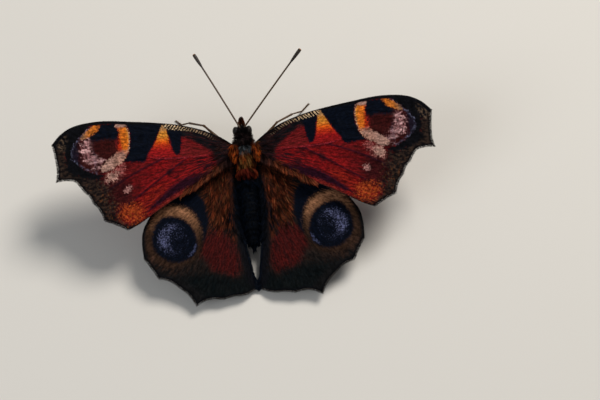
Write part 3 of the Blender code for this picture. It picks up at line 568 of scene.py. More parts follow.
class Finish:
    """A material made of nodes, with a short call for each kind of node that the finishes here use."""

    def __init__(self, name, roughness=0.7, specular=0.35, sheen=0.0, sheen_roughness=0.5):
        self.material = bpy.data.materials.new(name)
        self.material.use_nodes = True
        self.tree = self.material.node_tree
        self.shader = self.tree.nodes["Principled BSDF"]
        self.shader.inputs["Roughness"].default_value = roughness
        self.shader.inputs["Specular IOR Level"].default_value = specular
        self.shader.inputs["Sheen Weight"].default_value = sheen
        self.shader.inputs["Sheen Roughness"].default_value = sheen_roughness

    def feed(self, socket, value):
        if isinstance(value, bpy.types.NodeSocket):
            self.tree.links.new(value, socket)
        elif isinstance(value, tuple) and len(value) == 3 and socket.type == "RGBA":
            socket.default_value = (*value, 1.0)
        else:
            socket.default_value = value

    def attribute(self, name, output="Fac"):
        node = self.tree.nodes.new("ShaderNodeAttribute")
        node.attribute_name = name
        return node.outputs[output]

    def math(self, operation, *values, clamp=False):
        node = self.tree.nodes.new("ShaderNodeMath")
        node.operation = operation
        node.use_clamp = clamp
        for socket, value in zip(node.inputs, values):
            self.feed(socket, value)
        return node.outputs[0]

    def stretched(self, vector, scale):
        node = self.tree.nodes.new("ShaderNodeVectorMath")
        node.operation = "MULTIPLY"
        self.feed(node.inputs[0], vector)
        node.inputs[1].default_value = scale
        return node.outputs[0]

    def axis(self, vector, index):
        node = self.tree.nodes.new("ShaderNodeSeparateXYZ")
        self.feed(node.inputs[0], vector)
        return node.outputs[index]

    def noise(self, vector, scale, detail=2.0, roughness=0.5, distortion=0.0):
        node = self.tree.nodes.new("ShaderNodeTexNoise")
        self.feed(node.inputs["Vector"], vector)
        node.inputs["Scale"].default_value = scale
        node.inputs["Detail"].default_value = detail
        node.inputs["Roughness"].default_value = roughness
        node.inputs["Distortion"].default_value = distortion
        return node.outputs["Fac"]

    def cells(self, vector, output="Color", randomness=0.8):
        node = self.tree.nodes.new("ShaderNodeTexVoronoi")
        self.feed(node.inputs["Vector"], vector)
        node.inputs["Scale"].default_value = 1.0
        node.inputs["Randomness"].default_value = randomness
        return node.outputs[output]

    def between(self, value, low, high, to_low=0.0, to_high=1.0, kind="SMOOTHSTEP"):
        node = self.tree.nodes.new("ShaderNodeMapRange")
        node.interpolation_type = kind
        for name, given in (("Value", value), ("From Min", low), ("From Max", high), ("To Min", to_low),
                            ("To Max", to_high)):
            self.feed(node.inputs[name], given)
        return node.outputs["Result"]

    def mix(self, share, below, above):
        node = self.tree.nodes.new("ShaderNodeMix")
        node.data_type = "RGBA"
        self.feed(node.inputs["Factor"], share)
        self.feed(node.inputs[6], below)
        self.feed(node.inputs[7], above)
        return node.outputs[2]

    def ramp(self, value, stops):
        node = self.tree.nodes.new("ShaderNodeValToRGB")
        self.feed(node.inputs["Fac"], value)
        points = node.color_ramp.elements
        while len(points) < len(stops):
            points.new(0.5)
        for point, (place, colour) in zip(points, stops):
            point.position = place
            point.color = (*colour, 1.0)
        return node.outputs["Color"]

    def shade(self, colour, brightness):
        """The colour made lighter or darker by a number round 1."""
        node = self.tree.nodes.new("ShaderNodeVectorMath")
        node.operation = "SCALE"
        self.feed(node.inputs[0], colour)
        self.feed(node.inputs["Scale"], brightness)
        return node.outputs[0]

    def bump(self, height, distance, strength=1.0):
        node = self.tree.nodes.new("ShaderNodeBump")
        node.inputs["Distance"].default_value = distance * MM
        node.inputs["Strength"].default_value = strength
        self.feed(node.inputs["Height"], height)
        before = self.shader.inputs["Normal"]
        if before.is_linked:
            self.tree.links.new(before.links[0].from_socket, node.inputs["Normal"])
        self.tree.links.new(node.outputs["Normal"], before)

    def done(self, colour):
        self.feed(self.shader.inputs["Base Color"], colour)
        return self.material


class WingFinish(Finish):
    """A finish of wing scales, with each marking painted over the last as ragged rows of scales."""

    def __init__(self, name):
        super().__init__(name, roughness=0.7, specular=0.03)
        self.plan = self.attribute("plan", "Vector")
        self.lie = self.attribute("lie", "Vector")
        self.x, self.y = self.axis(self.plan, 0), self.axis(self.plan, 1)
        rows = self.stretched(self.lie, (9.0, 5.5, 1.0))
        self.grain = self.axis(self.cells(rows), 0)
        self.grain_edge = self.cells(rows, "Distance")
        self.streaks = self.noise(self.stretched(self.lie, (3.6, 0.42, 1.0)), 1.0, 3.0, 0.62)
        self.fine = self.noise(self.stretched(self.lie, (5.5, 1.1, 1.0)), 1.0, 2.0, 0.6)
        self.blotch = self.noise(self.plan, 0.9, 3.0, 0.6)
        self.speckle = self.noise(self.stretched(self.lie, (3.6, 2.4, 1.0)), 1.0, 2.0, 0.7)
        scatter = self.math("ADD", self.math("SUBTRACT", self.grain, 0.5), self.math("SUBTRACT",
                                                                                     self.speckle, 0.5))
        self.ragged = scatter
        self.rayed = self.math("SUBTRACT", self.streaks, 0.5)

    def share(self, mark, soft=0.1, ragged=0.35, grow=0.0, rayed=0.0):
        """How much of a marking shows at a point, with an edge broken up by scales and by rays."""
        depth = self.math("ADD", self.attribute(mark), grow)
        depth = self.math("MULTIPLY_ADD", self.ragged, ragged, depth)
        if rayed:
            depth = self.math("MULTIPLY_ADD", self.rayed, rayed, depth)
        return self.between(depth, -soft, soft)

    def shifted(self, value, amount):
        """A place along an axis, unsettled by the speckle so that colours blend scale by scale."""
        return self.math("MULTIPLY_ADD", self.math("SUBTRACT", self.speckle, 0.5), amount, value)

    def times(self, *shares):
        whole = shares[0]
        for share in shares[1:]:
            whole = self.math("MULTIPLY", whole, share)
        return whole

    def finish(self, colour):
        brightness = self.between(self.grain, 0.0, 1.0, 0.66, 1.34, "LINEAR")
        brightness = self.times(brightness, self.between(self.fine, 0.38, 0.62, 0.6, 1.4, "LINEAR"))
        colour = self.shade(colour, brightness)
        self.bump(self.grain_edge, 0.016, 0.5)
        self.bump(self.streaks, 0.04, 0.3)
        return self.done(colour)


def forewing_top():
    f = WingFinish("forewing_scales")
    x, y = f.x, f.y
    streaked = f.between(f.streaks, 0.36, 0.62)
    colour = f.mix(streaked, DEEP_CRIMSON, CRIMSON)
    colour = f.mix(f.times(f.between(f.blotch, 0.45, 0.68), f.between(x, 12.0, 8.0, 0.25, 0.8)), colour,
                   BRIGHT_CRIMSON)
    colour = f.mix(f.times(f.share("dusk", 1.3, 1.6, 0.3), 0.62), colour, f.mix(streaked, WINE,
                                                                                (0.085, 0.0065, 0.008)))
    colour = f.mix(f.times(f.share("shade", 1.1, 1.2, 0.6), 0.92), colour, (0.028, 0.0040, 0.0050))
    colour = f.mix(f.times(f.share("ember", 1.0, 1.4), 0.75), colour, f.mix(streaked, DEEP_CRIMSON, EMBER))
    root = f.times(f.between(f.streaks, 0.47, 0.56, 1.0, 0.0), f.between(x, 3.0, 12.0, 1.0, 0.0))
    colour = f.mix(f.times(root, f.between(y, -0.6, -1.4)), colour, (0.012, 0.004, 0.006))
    colour = f.mix(f.times(f.share("inner_brown", 0.5, 0.7, rayed=1.6), 0.85), colour,
                   f.mix(streaked, (0.028, 0.011, 0.006), (0.19, 0.052, 0.016)))
    colour = f.mix(f.share("dusky_band", 0.3, 0.6, 0.1, 1.0), colour, PLUM)
    colour = f.mix(f.times(f.share("small_dark", 0.25, 0.4), 0.85), colour, (0.010, 0.004, 0.006))
    colour = f.mix(f.times(f.share("inner_dark", 0.3, 0.4), 0.6), colour, WINE)
    vein = f.attribute("vein")
    colour = f.mix(f.times(f.between(vein, 0.24, 0.08), f.between(x, 5.0, 9.0, 0.35, 0.75)), colour, PLUM)
    colour = f.mix(f.share("border", 0.9, 1.8, rayed=1.4), colour, f.mix(f.between(f.fine, 0.4, 0.6),
        (0.0075, 0.0055, 0.0060), (0.024, 0.0145, 0.0105)))
    dusting = f.times(f.share("border", 1.2, 1.0, 0.6), f.between(f.speckle, 0.55, 0.66), f.between(y, -3.5,
                                                                                                    -7.5))
    colour = f.mix(f.times(dusting, 0.75), colour, (0.10, 0.034, 0.012))
    edge = f.attribute("edge")
    colour = f.mix(f.between(edge, 0.1, 0.45, 0.8, 0.0), colour, BLACK)
    colour = f.mix(f.times(f.share("inner_strip", 0.25, 0.5), 0.85), colour, (0.170, 0.0165, 0.0120))
    ochre = f.times(f.share("ochre", 0.7, 1.3), f.between(f.speckle, 0.36, 0.54, 0.12, 1.0))
    colour = f.mix(ochre, colour, OCHRE)
    colour = f.mix(f.share("base", 0.35, 0.5, rayed=1.5), colour, f.mix(
        f.between(f.streaks, 0.50, 0.62), (0.0042, 0.0046, 0.0062), (0.036, 0.0075, 0.0085)))
    colour = f.mix(f.share("cell_red", 0.35, 0.7, rayed=1.2), colour, f.mix(streaked, DARK_RED,
                                                                            (0.15, 0.009, 0.011)))
    place = f.math("MULTIPLY_ADD", f.shifted(y, 1.0), 1 / 6.0, 1 / 6.0)
    colour = f.mix(f.share("wedge", 0.12, 0.35), colour, f.ramp(place, [
        (0.0, (0.17, 0.0065, 0.0078)), (0.24, (0.25, 0.0072, 0.0078)), (0.40, (0.42, 0.028, 0.007)), (0.50,
                                                                                                      ORANGE),
        (0.65, YELLOW), (0.76, YELLOW), (0.88, CREAM)]))
    colour = f.mix(f.share("bar", 0.1, 0.3), colour, BLUE_BLACK)
    colour = f.mix(f.share("patch", 0.1, 0.3), colour, BLUE_BLACK)
    colour = f.mix(f.times(f.share("spot_glow", 0.45, 1.0, rayed=1.2), 0.6), colour, (0.33, 0.105, 0.095))
    colour = f.mix(f.times(f.share("big_spot", 0.35, 0.8, rayed=0.8), 0.92), colour, PALE)
    colour = f.mix(f.times(f.share("small_spot", 0.25, 0.5, rayed=0.5), 0.9), colour, (0.36, 0.170, 0.155))
    colour = f.mix(f.share("lower_black", 0.2, 0.5), colour, BLACK)
    apex = f.mix(f.times(f.between(f.speckle, 0.45, 0.6), f.between(x, 26.6, 28.0)), BLACK, (0.080, 0.052,
                                                                                             0.034))
    colour = f.mix(f.share("apex", 0.3, 0.5), colour, apex)
    around = f.times(f.share("oval", 0.15, 0.2, 0.9), f.between(x, 22.6, 23.6))
    colour = f.mix(around, colour, BLACK)
    colour = f.mix(f.share("oval", 0.1, 0.3), colour, eyespot(f))
    colour = f.mix(f.times(f.share("bright_vein", 0.05, 0.1), 0.55), colour, (0.30, 0.022, 0.030))
    colour = f.mix(f.share("front", 0.08, 0.12), colour, BLACK)
    colour = f.mix(f.share("costal", 0.08, 0.12), colour, costal_bars(f))
    return f.finish(colour)


def eyespot(f):
    """The forewing's eye: a yellow crescent that pales below, a black and wine centre, a lilac outer half."""
    x, y = f.x, f.y
    colour = f.mix(f.between(f.shifted(x, 1.6), 24.8, 25.8), WINE, NAVY)
    frost = f.times(f.share("lilac", 0.5, 1.0, 0.1, 2.2), f.between(f.speckle, 0.34, 0.52, 0.35, 1.0))
    frost = f.times(frost, f.between(f.shifted(y, 1.5), -2.0, 0.6, 0.5, 1.0), f.between(f.shifted(x, 1.4),
        26.0, 24.8, 0.35, 1.0))
    colour = f.mix(frost, colour, f.mix(f.between(f.streaks, 0.45, 0.6), (0.22, 0.095, 0.10), LILAC))
    outer = f.times(f.share("oval", 0.12, 0.2, 0.0), f.share("oval", 0.12, 0.3, -0.42), f.between(x, 22.4,
                                                                                                  23.2))
    rim = f.math("SUBTRACT", f.times(f.share("oval", 0.12, 0.2, 0.0), f.between(x, 22.2, 23.0)), outer)
    dots = f.times(f.between(f.speckle, 0.46, 0.56, 0.08, 1.0), f.between(f.grain, 0.2, 0.7, 0.3, 1.0))
    colour = f.mix(f.times(rim, dots, f.between(f.shifted(y, 2.0), -2.6, -0.6, 0.5, 1.0)), colour, RIM_LILAC)
    colour = f.mix(f.share("eye_wine", 0.5, 0.8, rayed=0.8), colour, f.mix(
        f.between(f.shifted(x, 1.4), 18.7, 19.4), (0.13, 0.009, 0.009), WINE))
    colour = f.mix(f.share("eye_black", 0.3, 0.5), colour, BLUE_BLACK)
    across = f.shifted(f.math("MULTIPLY_ADD", y, -0.12, x), 0.8)
    yellow = f.ramp(f.math("ADD", across, -16.4), [
        (0.0, YELLOW), (0.5, WARM_YELLOW), (0.95, WARM_YELLOW), (1.0, WARM_YELLOW)])
    yellow = f.mix(f.between(across, 17.55, 18.2), yellow, DEEP_ORANGE)
    cream = f.between(f.shifted(y, 1.4), 1.1, 0.1)
    frosted = f.between(f.math("ADD", f.streaks, f.math("MULTIPLY", f.speckle, 0.5)), 0.62, 0.8, 0.55, 1.05)
    yellow = f.mix(cream, yellow, f.shade(f.mix(f.between(f.shifted(x, 2.0), 19.0, 20.6), (0.32, 0.165,
                                                                                           0.125), PALE),
                                          frosted))
    outline = f.share("crescent", 0.1, 0.2, -0.16)
    yellow = f.mix(outline, f.mix(f.between(x, 17.6, 18.4), f.mix(0.6, CREAM, PALE), yellow), yellow)
    yellow = f.mix(f.between(f.shifted(y, 0.8), 4.5, 5.1), yellow, f.mix(f.between(f.streaks, 0.4, 0.6),
                                                                         BLACK, PALE))
    colour = f.mix(f.share("crescent", 0.1, 0.3), colour, yellow)
    second = f.ramp(f.math("MULTIPLY_ADD", f.shifted(x, 0.9), 1 / 3.2, -21.6 / 3.2), [
        (0.0, (0.24, 0.055, 0.010)), (0.2, (0.48, 0.125, 0.014)), (0.55, (0.42, 0.125, 0.020)), (0.85,
            (0.205, 0.098, 0.050))])
    return f.mix(f.share("second", 0.12, 0.35), colour, second)


def costal_bars(f):
    """Fine slanting ticks, cream on black and uneven, along the front edge."""
    run = f.math("MULTIPLY_ADD", f.y, 0.9, f.x)
    uneven = f.math("MULTIPLY", f.math("SUBTRACT", f.noise(f.plan, 1.3, 2.0, 0.6), 0.5), 0.9)
    wave = f.math("SINE", f.math("MULTIPLY", f.math("ADD", run, uneven), 2 * math.pi / 0.58))
    bars = f.between(f.math("MULTIPLY_ADD", f.ragged, 0.9, wave), 0.1, 0.5)
    fade = f.times(f.between(f.x, 1.5, 5.0, 0.3, 1.0), f.between(f.fine, 0.34, 0.46, 0.45, 1.0))
    cream = f.mix(f.between(f.x, 4.0, 10.0), (0.21, 0.135, 0.080), (0.52, 0.37, 0.215))
    return f.mix(f.times(bars, fade), BLACK, cream)


def hindwing_top():
    f = WingFinish("hindwing_scales")
    x, y = f.x, f.y
    streaked = f.between(f.streaks, 0.35, 0.65)
    colour = f.mix(streaked, (0.0055, 0.0050, 0.0055), (0.0165, 0.0100, 0.0070))
    brown = f.mix(f.between(f.streaks, 0.42, 0.6), (0.0100, 0.0052, 0.0042), HAIR_BROWN)
    colour = f.mix(f.share("brown", 0.9, 1.4, rayed=2.4), colour, brown)
    colour = f.mix(f.share("red", 0.8, 1.0, rayed=2.2), colour, f.mix(streaked, (0.028, 0.005, 0.005),
                                                                      DARK_RED))
    colour = f.mix(f.share("costal_dark", 0.6, 0.6), colour, BROWN_BLACK)
    colour = f.mix(f.share("patch", 0.25, 0.4), colour, BLUE_BLACK)
    colour = f.mix(f.share("ring", 0.4, 0.6, rayed=0.8), colour, ring_colour(f))
    warm = f.times(streaked, f.between(x, 9.5, 13.0, 0.25, 1.0))
    low = f.mix(warm, (0.0070, 0.0062, 0.0060), (0.044, 0.021, 0.014))
    colour = f.mix(f.share("dusky_low", 0.8, 1.0, rayed=1.6), colour, low)
    colour = f.mix(f.share("disc", 0.3, 0.4), colour, BLUE_BLACK)
    powder = f.noise(f.stretched(f.lie, (6.5, 4.2, 1.0)), 1.0, 2.0, 0.7)
    thick = f.math("MULTIPLY_ADD", f.attribute("blue"), 0.14, powder)
    thin = f.math("MULTIPLY_ADD", f.share("dust", 0.6, 0.8), 0.035, powder)
    dust = f.math("MAXIMUM", f.between(thick, 0.49, 0.66), f.times(f.between(thin, 0.56, 0.68), 0.6))
    dust = f.times(dust, f.share("dust", 0.3, 0.5), f.between(f.attribute("hollow"), -0.3, 0.4, 1.0, 0.1))
    dust = f.times(dust, f.between(f.grain, 0.25, 0.5, 0.2, 1.0), f.between(f.shifted(y, 2.0), -14.6, -12.6,
                                                                            0.3, 1.0))
    colour = f.mix(dust, colour, BLUE)
    colour = f.mix(f.times(f.share("streak", 0.1, 0.3), 0.55), colour, (0.060, 0.068, 0.14))
    border = f.mix(streaked, (0.0018, 0.0034, 0.0042), (0.0042, 0.0055, 0.0060))
    colour = f.mix(f.share("border", 0.8, 1.0, rayed=1.6), colour, border)
    colour = f.mix(f.share("outer_dark", 0.5, 0.6), colour, (0.0055, 0.0055, 0.0060))
    colour = f.mix(f.share("inner_dark", 0.5, 0.7, rayed=1.0), colour, (0.0040, 0.0042, 0.0060))
    edge = f.attribute("edge")
    colour = f.mix(f.between(edge, 0.15, 0.5, 0.7, 0.0), colour, BLACK)
    return f.finish(colour)


def ring_colour(f):
    """The tan ring round the hindwing's eye: lightest in front, and brown at its outer side and behind."""
    front = f.between(f.math("MULTIPLY_ADD", f.y, 1.1, f.math("MULTIPLY", f.x, -0.22)), -16.2, -10.0)
    colour = f.mix(front, (0.036, 0.018, 0.011), TAN)
    inner = f.between(f.attribute("disc"), -1.3, -0.5, 1.0, 0.75)
    colour = f.shade(colour, f.math("MULTIPLY", inner, f.between(f.attribute("ring"), 0.0, 0.8, 0.55, 1.1)))
    return f.shade(colour, f.between(f.streaks, 0.35, 0.65, 0.8, 1.15))


def wing_under(name):
    """The hidden side: bark brown and black, crossed by fine dark waves."""
    f = WingFinish(name)
    reach = f.axis(f.lie, 1)
    wander = f.noise(f.plan, 0.5, 3.0, 0.6)
    run = f.math("MULTIPLY_ADD", wander, 2.6, reach)
    waves = f.between(f.math("SINE", f.math("MULTIPLY", run, 2 * math.pi / 0.9)), -0.2, 0.7)
    wide = f.between(f.math("SINE", f.math("MULTIPLY", run, 2 * math.pi / 9.0)), -0.4, 0.5)
    colour = f.mix(f.between(f.speckle, 0.4, 0.7), (0.010, 0.008, 0.008), (0.026, 0.018, 0.014))
    colour = f.mix(f.times(wide, 0.6), colour, (0.034, 0.023, 0.018))
    colour = f.mix(f.times(waves, 0.75), colour, (0.005, 0.004, 0.005))
    return f.finish(colour)


# Body


def work_on(piece):
    """Makes the piece the only one selected, so that an operator acts on it alone."""
    bpy.ops.object.select_all(action="DESELECT")
    piece.select_set(True)
    bpy.context.view_layer.objects.active = piece


def modify(piece, kind, **settings):
    """Adds a modifier and applies it."""
    work_on(piece)
    step = piece.modifiers.new(kind.title(), kind)
    for name, value in settings.items():
        setattr(step, name, value)
    bpy.ops.object.modifier_apply(modifier=step.name)


def rounded(name, mass, inset=0.0, lean=0.0, side=1, segments=48, rings=32):
    """A rounded mass, poles fore and aft, made smaller all round by the inset."""
    centre, half_sizes = mass
    bpy.ops.object.select_all(action="DESELECT")
    bpy.ops.mesh.primitive_uv_sphere_add(segments=segments, ring_count=rings, radius=1.0)
    piece = bpy.context.object
    piece.name = piece.data.name = name
    scale = Matrix.Diagonal([size - inset for size in half_sizes] + [1.0])
    place = Matrix.Translation((side * centre[0], centre[1], centre[2]))
    turn = Matrix.Rotation(side * lean, 4, "Y")
    piece.data.transform(place @ turn @ scale @ Matrix.Rotation(math.pi / 2, 4, "X"))
    return piece


def frames(path):
    """At each point of a path: its heading, and two directions across it that don't twist."""
    heading = unit(np.gradient(path, axis=0))
    start = np.cross(heading[0], (0.3, 0.2, 1.0))
    side = [start / np.linalg.norm(start)]
    for h in heading[1:]:
        s = side[-1] - h * (side[-1] @ h)
        side.append(s / np.linalg.norm(s))
    side = np.array(side)
    return heading, side, np.cross(heading, side)


def rod(name, path, radii, sides=12, flatten=1.0):
    """A closed rod: a disc is pulled up ring by ring, and the rings are then hung along the path."""
    path, radii = as_array(path), np.array(radii, float)
    bpy.ops.object.select_all(action="DESELECT")
    bpy.ops.mesh.primitive_circle_add(vertices=sides, radius=1.0, fill_type="NGON")
    piece = bpy.context.object
    piece.name = piece.data.name = name
    bpy.ops.object.mode_set(mode="EDIT")
    for _ in path[1:]:
        bpy.ops.mesh.extrude_region_move(TRANSFORM_OT_translate={"value": (0, 0, 1)})
    bpy.ops.object.mode_set(mode="OBJECT")
    points = as_array(v.co for v in piece.data.vertices)
    ring = np.rint(points[:, 2]).astype(int)
    _, side, up = frames(path)
    out = side[ring] * points[:, :1] + up[ring] * points[:, 1:2] * flatten
    piece.data.vertices.foreach_set("co", (path[ring] + out * radii[ring, None]).astype(np.float32).ravel())
    store(piece.data, "run", ring / (len(path) - 1))
    work_on(piece)
    bpy.ops.object.mode_set(mode="EDIT")
    bpy.ops.mesh.select_all(action="SELECT")
    bpy.ops.mesh.normals_make_consistent(inside=False)
    bpy.ops.object.mode_set(mode="OBJECT")
    return piece


def tapered(path, radii, step):
    """Points every step or so along a smooth curve, with the radius there."""
    line = as_array(smooth(path, step))
    _, along = to_line(line, line)
    _, knots = to_line(as_array(path), line)
    return line, np.interp(along, knots, radii)


def joined(name, pieces):
    bpy.ops.object.select_all(action="DESELECT")
    for piece in pieces:
        piece.select_set(True)
    bpy.context.view_layer.objects.active = pieces[0]
    bpy.ops.object.join()
    pieces[0].name = pieces[0].data.name = name
    return pieces[0]


def abdomen_radius(share):
    for (start, low), (end, high) in zip(ABDOMEN_RADII, ABDOMEN_RADII[1:]):
        if share <= end:
            blend = (share - start) / (end - start)
            return low + (high - low) * (1 - math.cos(math.pi * blend)) / 2
    return ABDOMEN_RADII[-1][1]


def abdomen_axis(share):
    """The middle of the abdomen, which hangs in a shallow curve towards its tip."""
    front_y, front_z = ABDOMEN_FRONT
    return (0.0, front_y - ABDOMEN_LENGTH * share, front_z - ABDOMEN_SAG * share**2)


def abdomen():
    steps_in_ring = 8
    count = ABDOMEN_RINGS * steps_in_ring
    path, radii = [], []
    for i in range(count + 1):
        share = i / count
        in_ring = (i % steps_in_ring) / steps_in_ring
        groove = RING_GROOVE * (1 - min(1.0, 4 * in_ring)) if 0 < i < count else 0.0
        path.append(abdomen_axis(share))
        radii.append(abdomen_radius(share) - COAT_DEPTH["abdomen"] - groove)
    path.append(abdomen_axis(1.0 + 0.12 / ABDOMEN_LENGTH))
    radii.append(0.1)
    return rod("abdomen", path, np.maximum(radii, 0.08), sides=40)


def body_skin():
    """One skin over head, neck, thorax and abdomen."""
    thorax, head = COAT_DEPTH["thorax"], COAT_DEPTH["head"]
    masses = [
        rounded("skull", HEAD, head),
        rounded("face", FACE, head),
        rounded("neck", NECK),
        rounded("collar", COLLAR, thorax),
        rounded("trunk", MIDDLE_THORAX, thorax),
        rounded("rear", HIND_THORAX, thorax),
        abdomen(),
    ]
    skin = joined("body_skin", masses)
    modify(skin, "REMESH", mode="VOXEL", voxel_size=SKIN_VOXEL)
    modify(skin, "SMOOTH", factor=0.6, iterations=3)
    return skin


def skin_points(mesh):
    points = np.zeros(len(mesh.vertices) * 3)
    mesh.vertices.foreach_get("co", points)
    return points.reshape(-1, 3)


def body_axis_height(y):
    """Height of the body's own axis at each place along it."""
    share = np.clip((ABDOMEN_FRONT[0] - y) / ABDOMEN_LENGTH, 0, 1)
    return np.where(y < ABDOMEN_FRONT[0], ABDOMEN_FRONT[1] - ABDOMEN_SAG * share**2,
                    np.interp(y, [ABDOMEN_FRONT[0], 2.0, 5.0], [ABDOMEN_FRONT[1], -0.1, 0.05]))


def unrolled(points, back, front):
    """The skin cut along the belly and rolled out flat between two places along the body."""
    turn = np.arctan2(points[:, 0], points[:, 2] - body_axis_height(points[:, 1])) / (2 * math.pi)
    along = (points[:, 1] - back) / (front - back)
    return np.column_stack([0.5 + 0.94 * turn, 0.03 + 0.94 * np.clip(along, 0, 1)])


def wound_round(spots, middles, heading, run):
    """Places on a limb or plate, cut along its underside and rolled out flat."""
    side_way = unit(np.cross(heading, (0.1, 0.2, 1.0)))
    up_way = np.cross(side_way, heading)
    off = spots - middles
    turn = np.arctan2(np.sum(off * side_way, axis=1), np.sum(off * up_way, axis=1)) / (2 * math.pi)
    return np.column_stack([0.5 + 0.94 * turn, 0.02 + 0.94 * run])


def map_skin(mesh, back, front):
    points = skin_points(mesh)
    flat = unrolled(points, back, front)
    corners = np.zeros(len(mesh.loops), int)
    mesh.loops.foreach_get("vertex_index", corners)
    spots = flat[corners]
    for face in mesh.polygons:
        own = slice(face.loop_start, face.loop_start + face.loop_total)
        u = spots[own, 0]
        if u.max() - u.min() > 0.5:
            spots[own, 0] = np.where(u < 0.5, u + 0.94, u)
    uv = mesh.uv_layers.new(name="OFBake")
    uv.data.foreach_set("uv", spots.astype(np.float32).ravel())


def scattered(mesh, count, rng, weight=None):
    """Places spread at random over a mesh, and the normal at each."""
    mesh.calc_loop_triangles()
    points = skin_points(mesh)
    corners = np.zeros(len(mesh.loop_triangles) * 3, int)
    mesh.loop_triangles.foreach_get("vertices", corners)
    a, b, c = points[corners.reshape(-1, 3)].transpose(1, 0, 2)
    across = np.cross(b - a, c - a)
    chance = np.linalg.norm(across, axis=1)
    if weight is not None:
        chance = chance * weight((a + b + c) / 3, unit(across))
    picked = rng.choice(len(chance), count, p=chance / chance.sum())
    u, v = np.sqrt(rng.random(count)), rng.random(count)
    spots = a[picked] * (1 - u)[:, None] + b[picked] * (u * (1 - v))[:, None] + c[picked] * (u * v)[:, None]
    return spots, unit(across[picked])


def tufts(name, roots, normals, lies, lengths, widths, lifts, rng, flat=None, stations=(0.0, 0.4, 0.75),
          profile=(0.8, 1.0, 0.62), thickness=0.5, curl=0.12, sunk=0.06, lock=0.0, pull=0.7):
    """Thin solid tufts in one mesh. Each rises off its root by its lift and bends back along its lie.

    With a lock share, that share of the tufts are the middles of locks. The tips of the others are drawn to
    the tip of the nearest middle, as far as pull says.
    """
    count = len(roots)
    lies = unit(lies - normals * np.sum(lies * normals, axis=1, keepdims=True))
    lock_tone = rng.random(count)
    if lock:
        long = np.broadcast_to(lengths, count)[:, None]
        number = max(8, round(count * lock))
        centres = rng.choice(count, number, replace=False)
        own = np.array([centres[np.argmin(np.sum((roots[centres] - r) ** 2, axis=1))] for r in roots])
        drawn = lies * long + pull * (roots[own] + lies[own] * long[own] - roots - lies * long)
        lies = unit(drawn - normals * np.sum(drawn * normals, axis=1, keepdims=True))
        lock_tone = lock_tone[own]
    across = np.cross(lies, normals)
    lengths, widths, lifts = (np.broadcast_to(v, count)[:, None] for v in (lengths, widths, lifts))
    swing = (rng.random((count, 1)) - 0.5) * 2 * curl
    rings = []
    for share in (*stations, 1.0):
        rise = lifts * (share - 0.5 * share**2)
        reach = lies * share + normals * rise + across * swing * share**2
        rings.append(roots - normals * sunk + lengths * reach)
    verts = []
    for middle, wide in zip(rings, profile):
        half = widths * wide / 2
        verts += [middle + across * half, middle + normals * half * thickness * 2, middle - across * half]
    verts.append(rings[-1])
    in_tuft = len(verts)
    points = np.stack(verts, 1).reshape(-1, 3)
    pattern = [(0, 1, 2)]
    for k in range(len(stations) - 1):
        for a, b in ((0, 1), (1, 2), (2, 0)):
            pattern.append((3 * k + a, 3 * k + 3 + a, 3 * k + 3 + b, 3 * k + b))
    last = 3 * (len(stations) - 1)
    for a, b in ((0, 1), (1, 2), (2, 0)):
        pattern.append((last + a, in_tuft - 1, last + b))
    faces = []
    for first in range(0, count * in_tuft, in_tuft):
        faces += [tuple(first + i for i in face) for face in pattern]
    mesh = bpy.data.meshes.new(name)
    mesh.from_pydata(points, [], faces)
    mesh.update()
    store(mesh, "place", np.repeat(roots, in_tuft, axis=0))
    store(mesh, "tone", np.repeat(rng.random(count), in_tuft))
    store(mesh, "lock", np.repeat(lock_tone, in_tuft))
    shares = [s for s in stations for _ in range(3)] + [1.0]
    store(mesh, "along", np.tile(shares, count))
    if flat is not None:
        spread = np.array([(0.003 * s, 0.001 * (i % 3)) for i, s in enumerate(shares)])
        spots = (flat[:, None, :] + spread[None]).reshape(-1, 2)
        corners = np.zeros(len(mesh.loops), int)
        mesh.loops.foreach_get("vertex_index", corners)
        uv = mesh.uv_layers.new(name="OFBake")
        uv.data.foreach_set("uv", spots[corners].astype(np.float32).ravel())
    piece = bpy.data.objects.new(name, mesh)
    bpy.context.scene.collection.objects.link(piece)
    return piece


def step(values, low, high):
    t = np.clip((values - low) / (high - low), 0, 1)
    return t * t * (3 - 2 * t)


def wander(points, pitch, seed):
    """A slow random drift of direction, the same for neighbours, so that hair lies in locks."""
    turn = np.random.default_rng(seed).normal(size=(3, 3))
    phase = points @ turn / pitch
    return np.sin(phase + 1.7 * np.sin(1.3 * phase[:, [1, 2, 0]]))


def head_coat(skin, rng):
    spots, normals = scattered(skin.data, 3200, rng, lambda p, n: (p[:, 1] > 4.2) * 1.0)
    x, y, z = spots.T
    lies = np.column_stack([0.6 * x, 0.35 + 0.9 * step(y, 4.6, 5.6), 0.3 - 0.7 * step(z, 0.4, -0.9)])
    lies += 0.35 * wander(spots, 0.5, 1)
    lengths = 0.42 + 0.22 * rng.random(len(x)) + 0.2 * step(z, 0.3, 1.0)
    return tufts("head_hair", spots, normals, lies, lengths, 0.05, 0.7, rng, unrolled(spots, 3.9, 6.4),
                 lock=0.12)


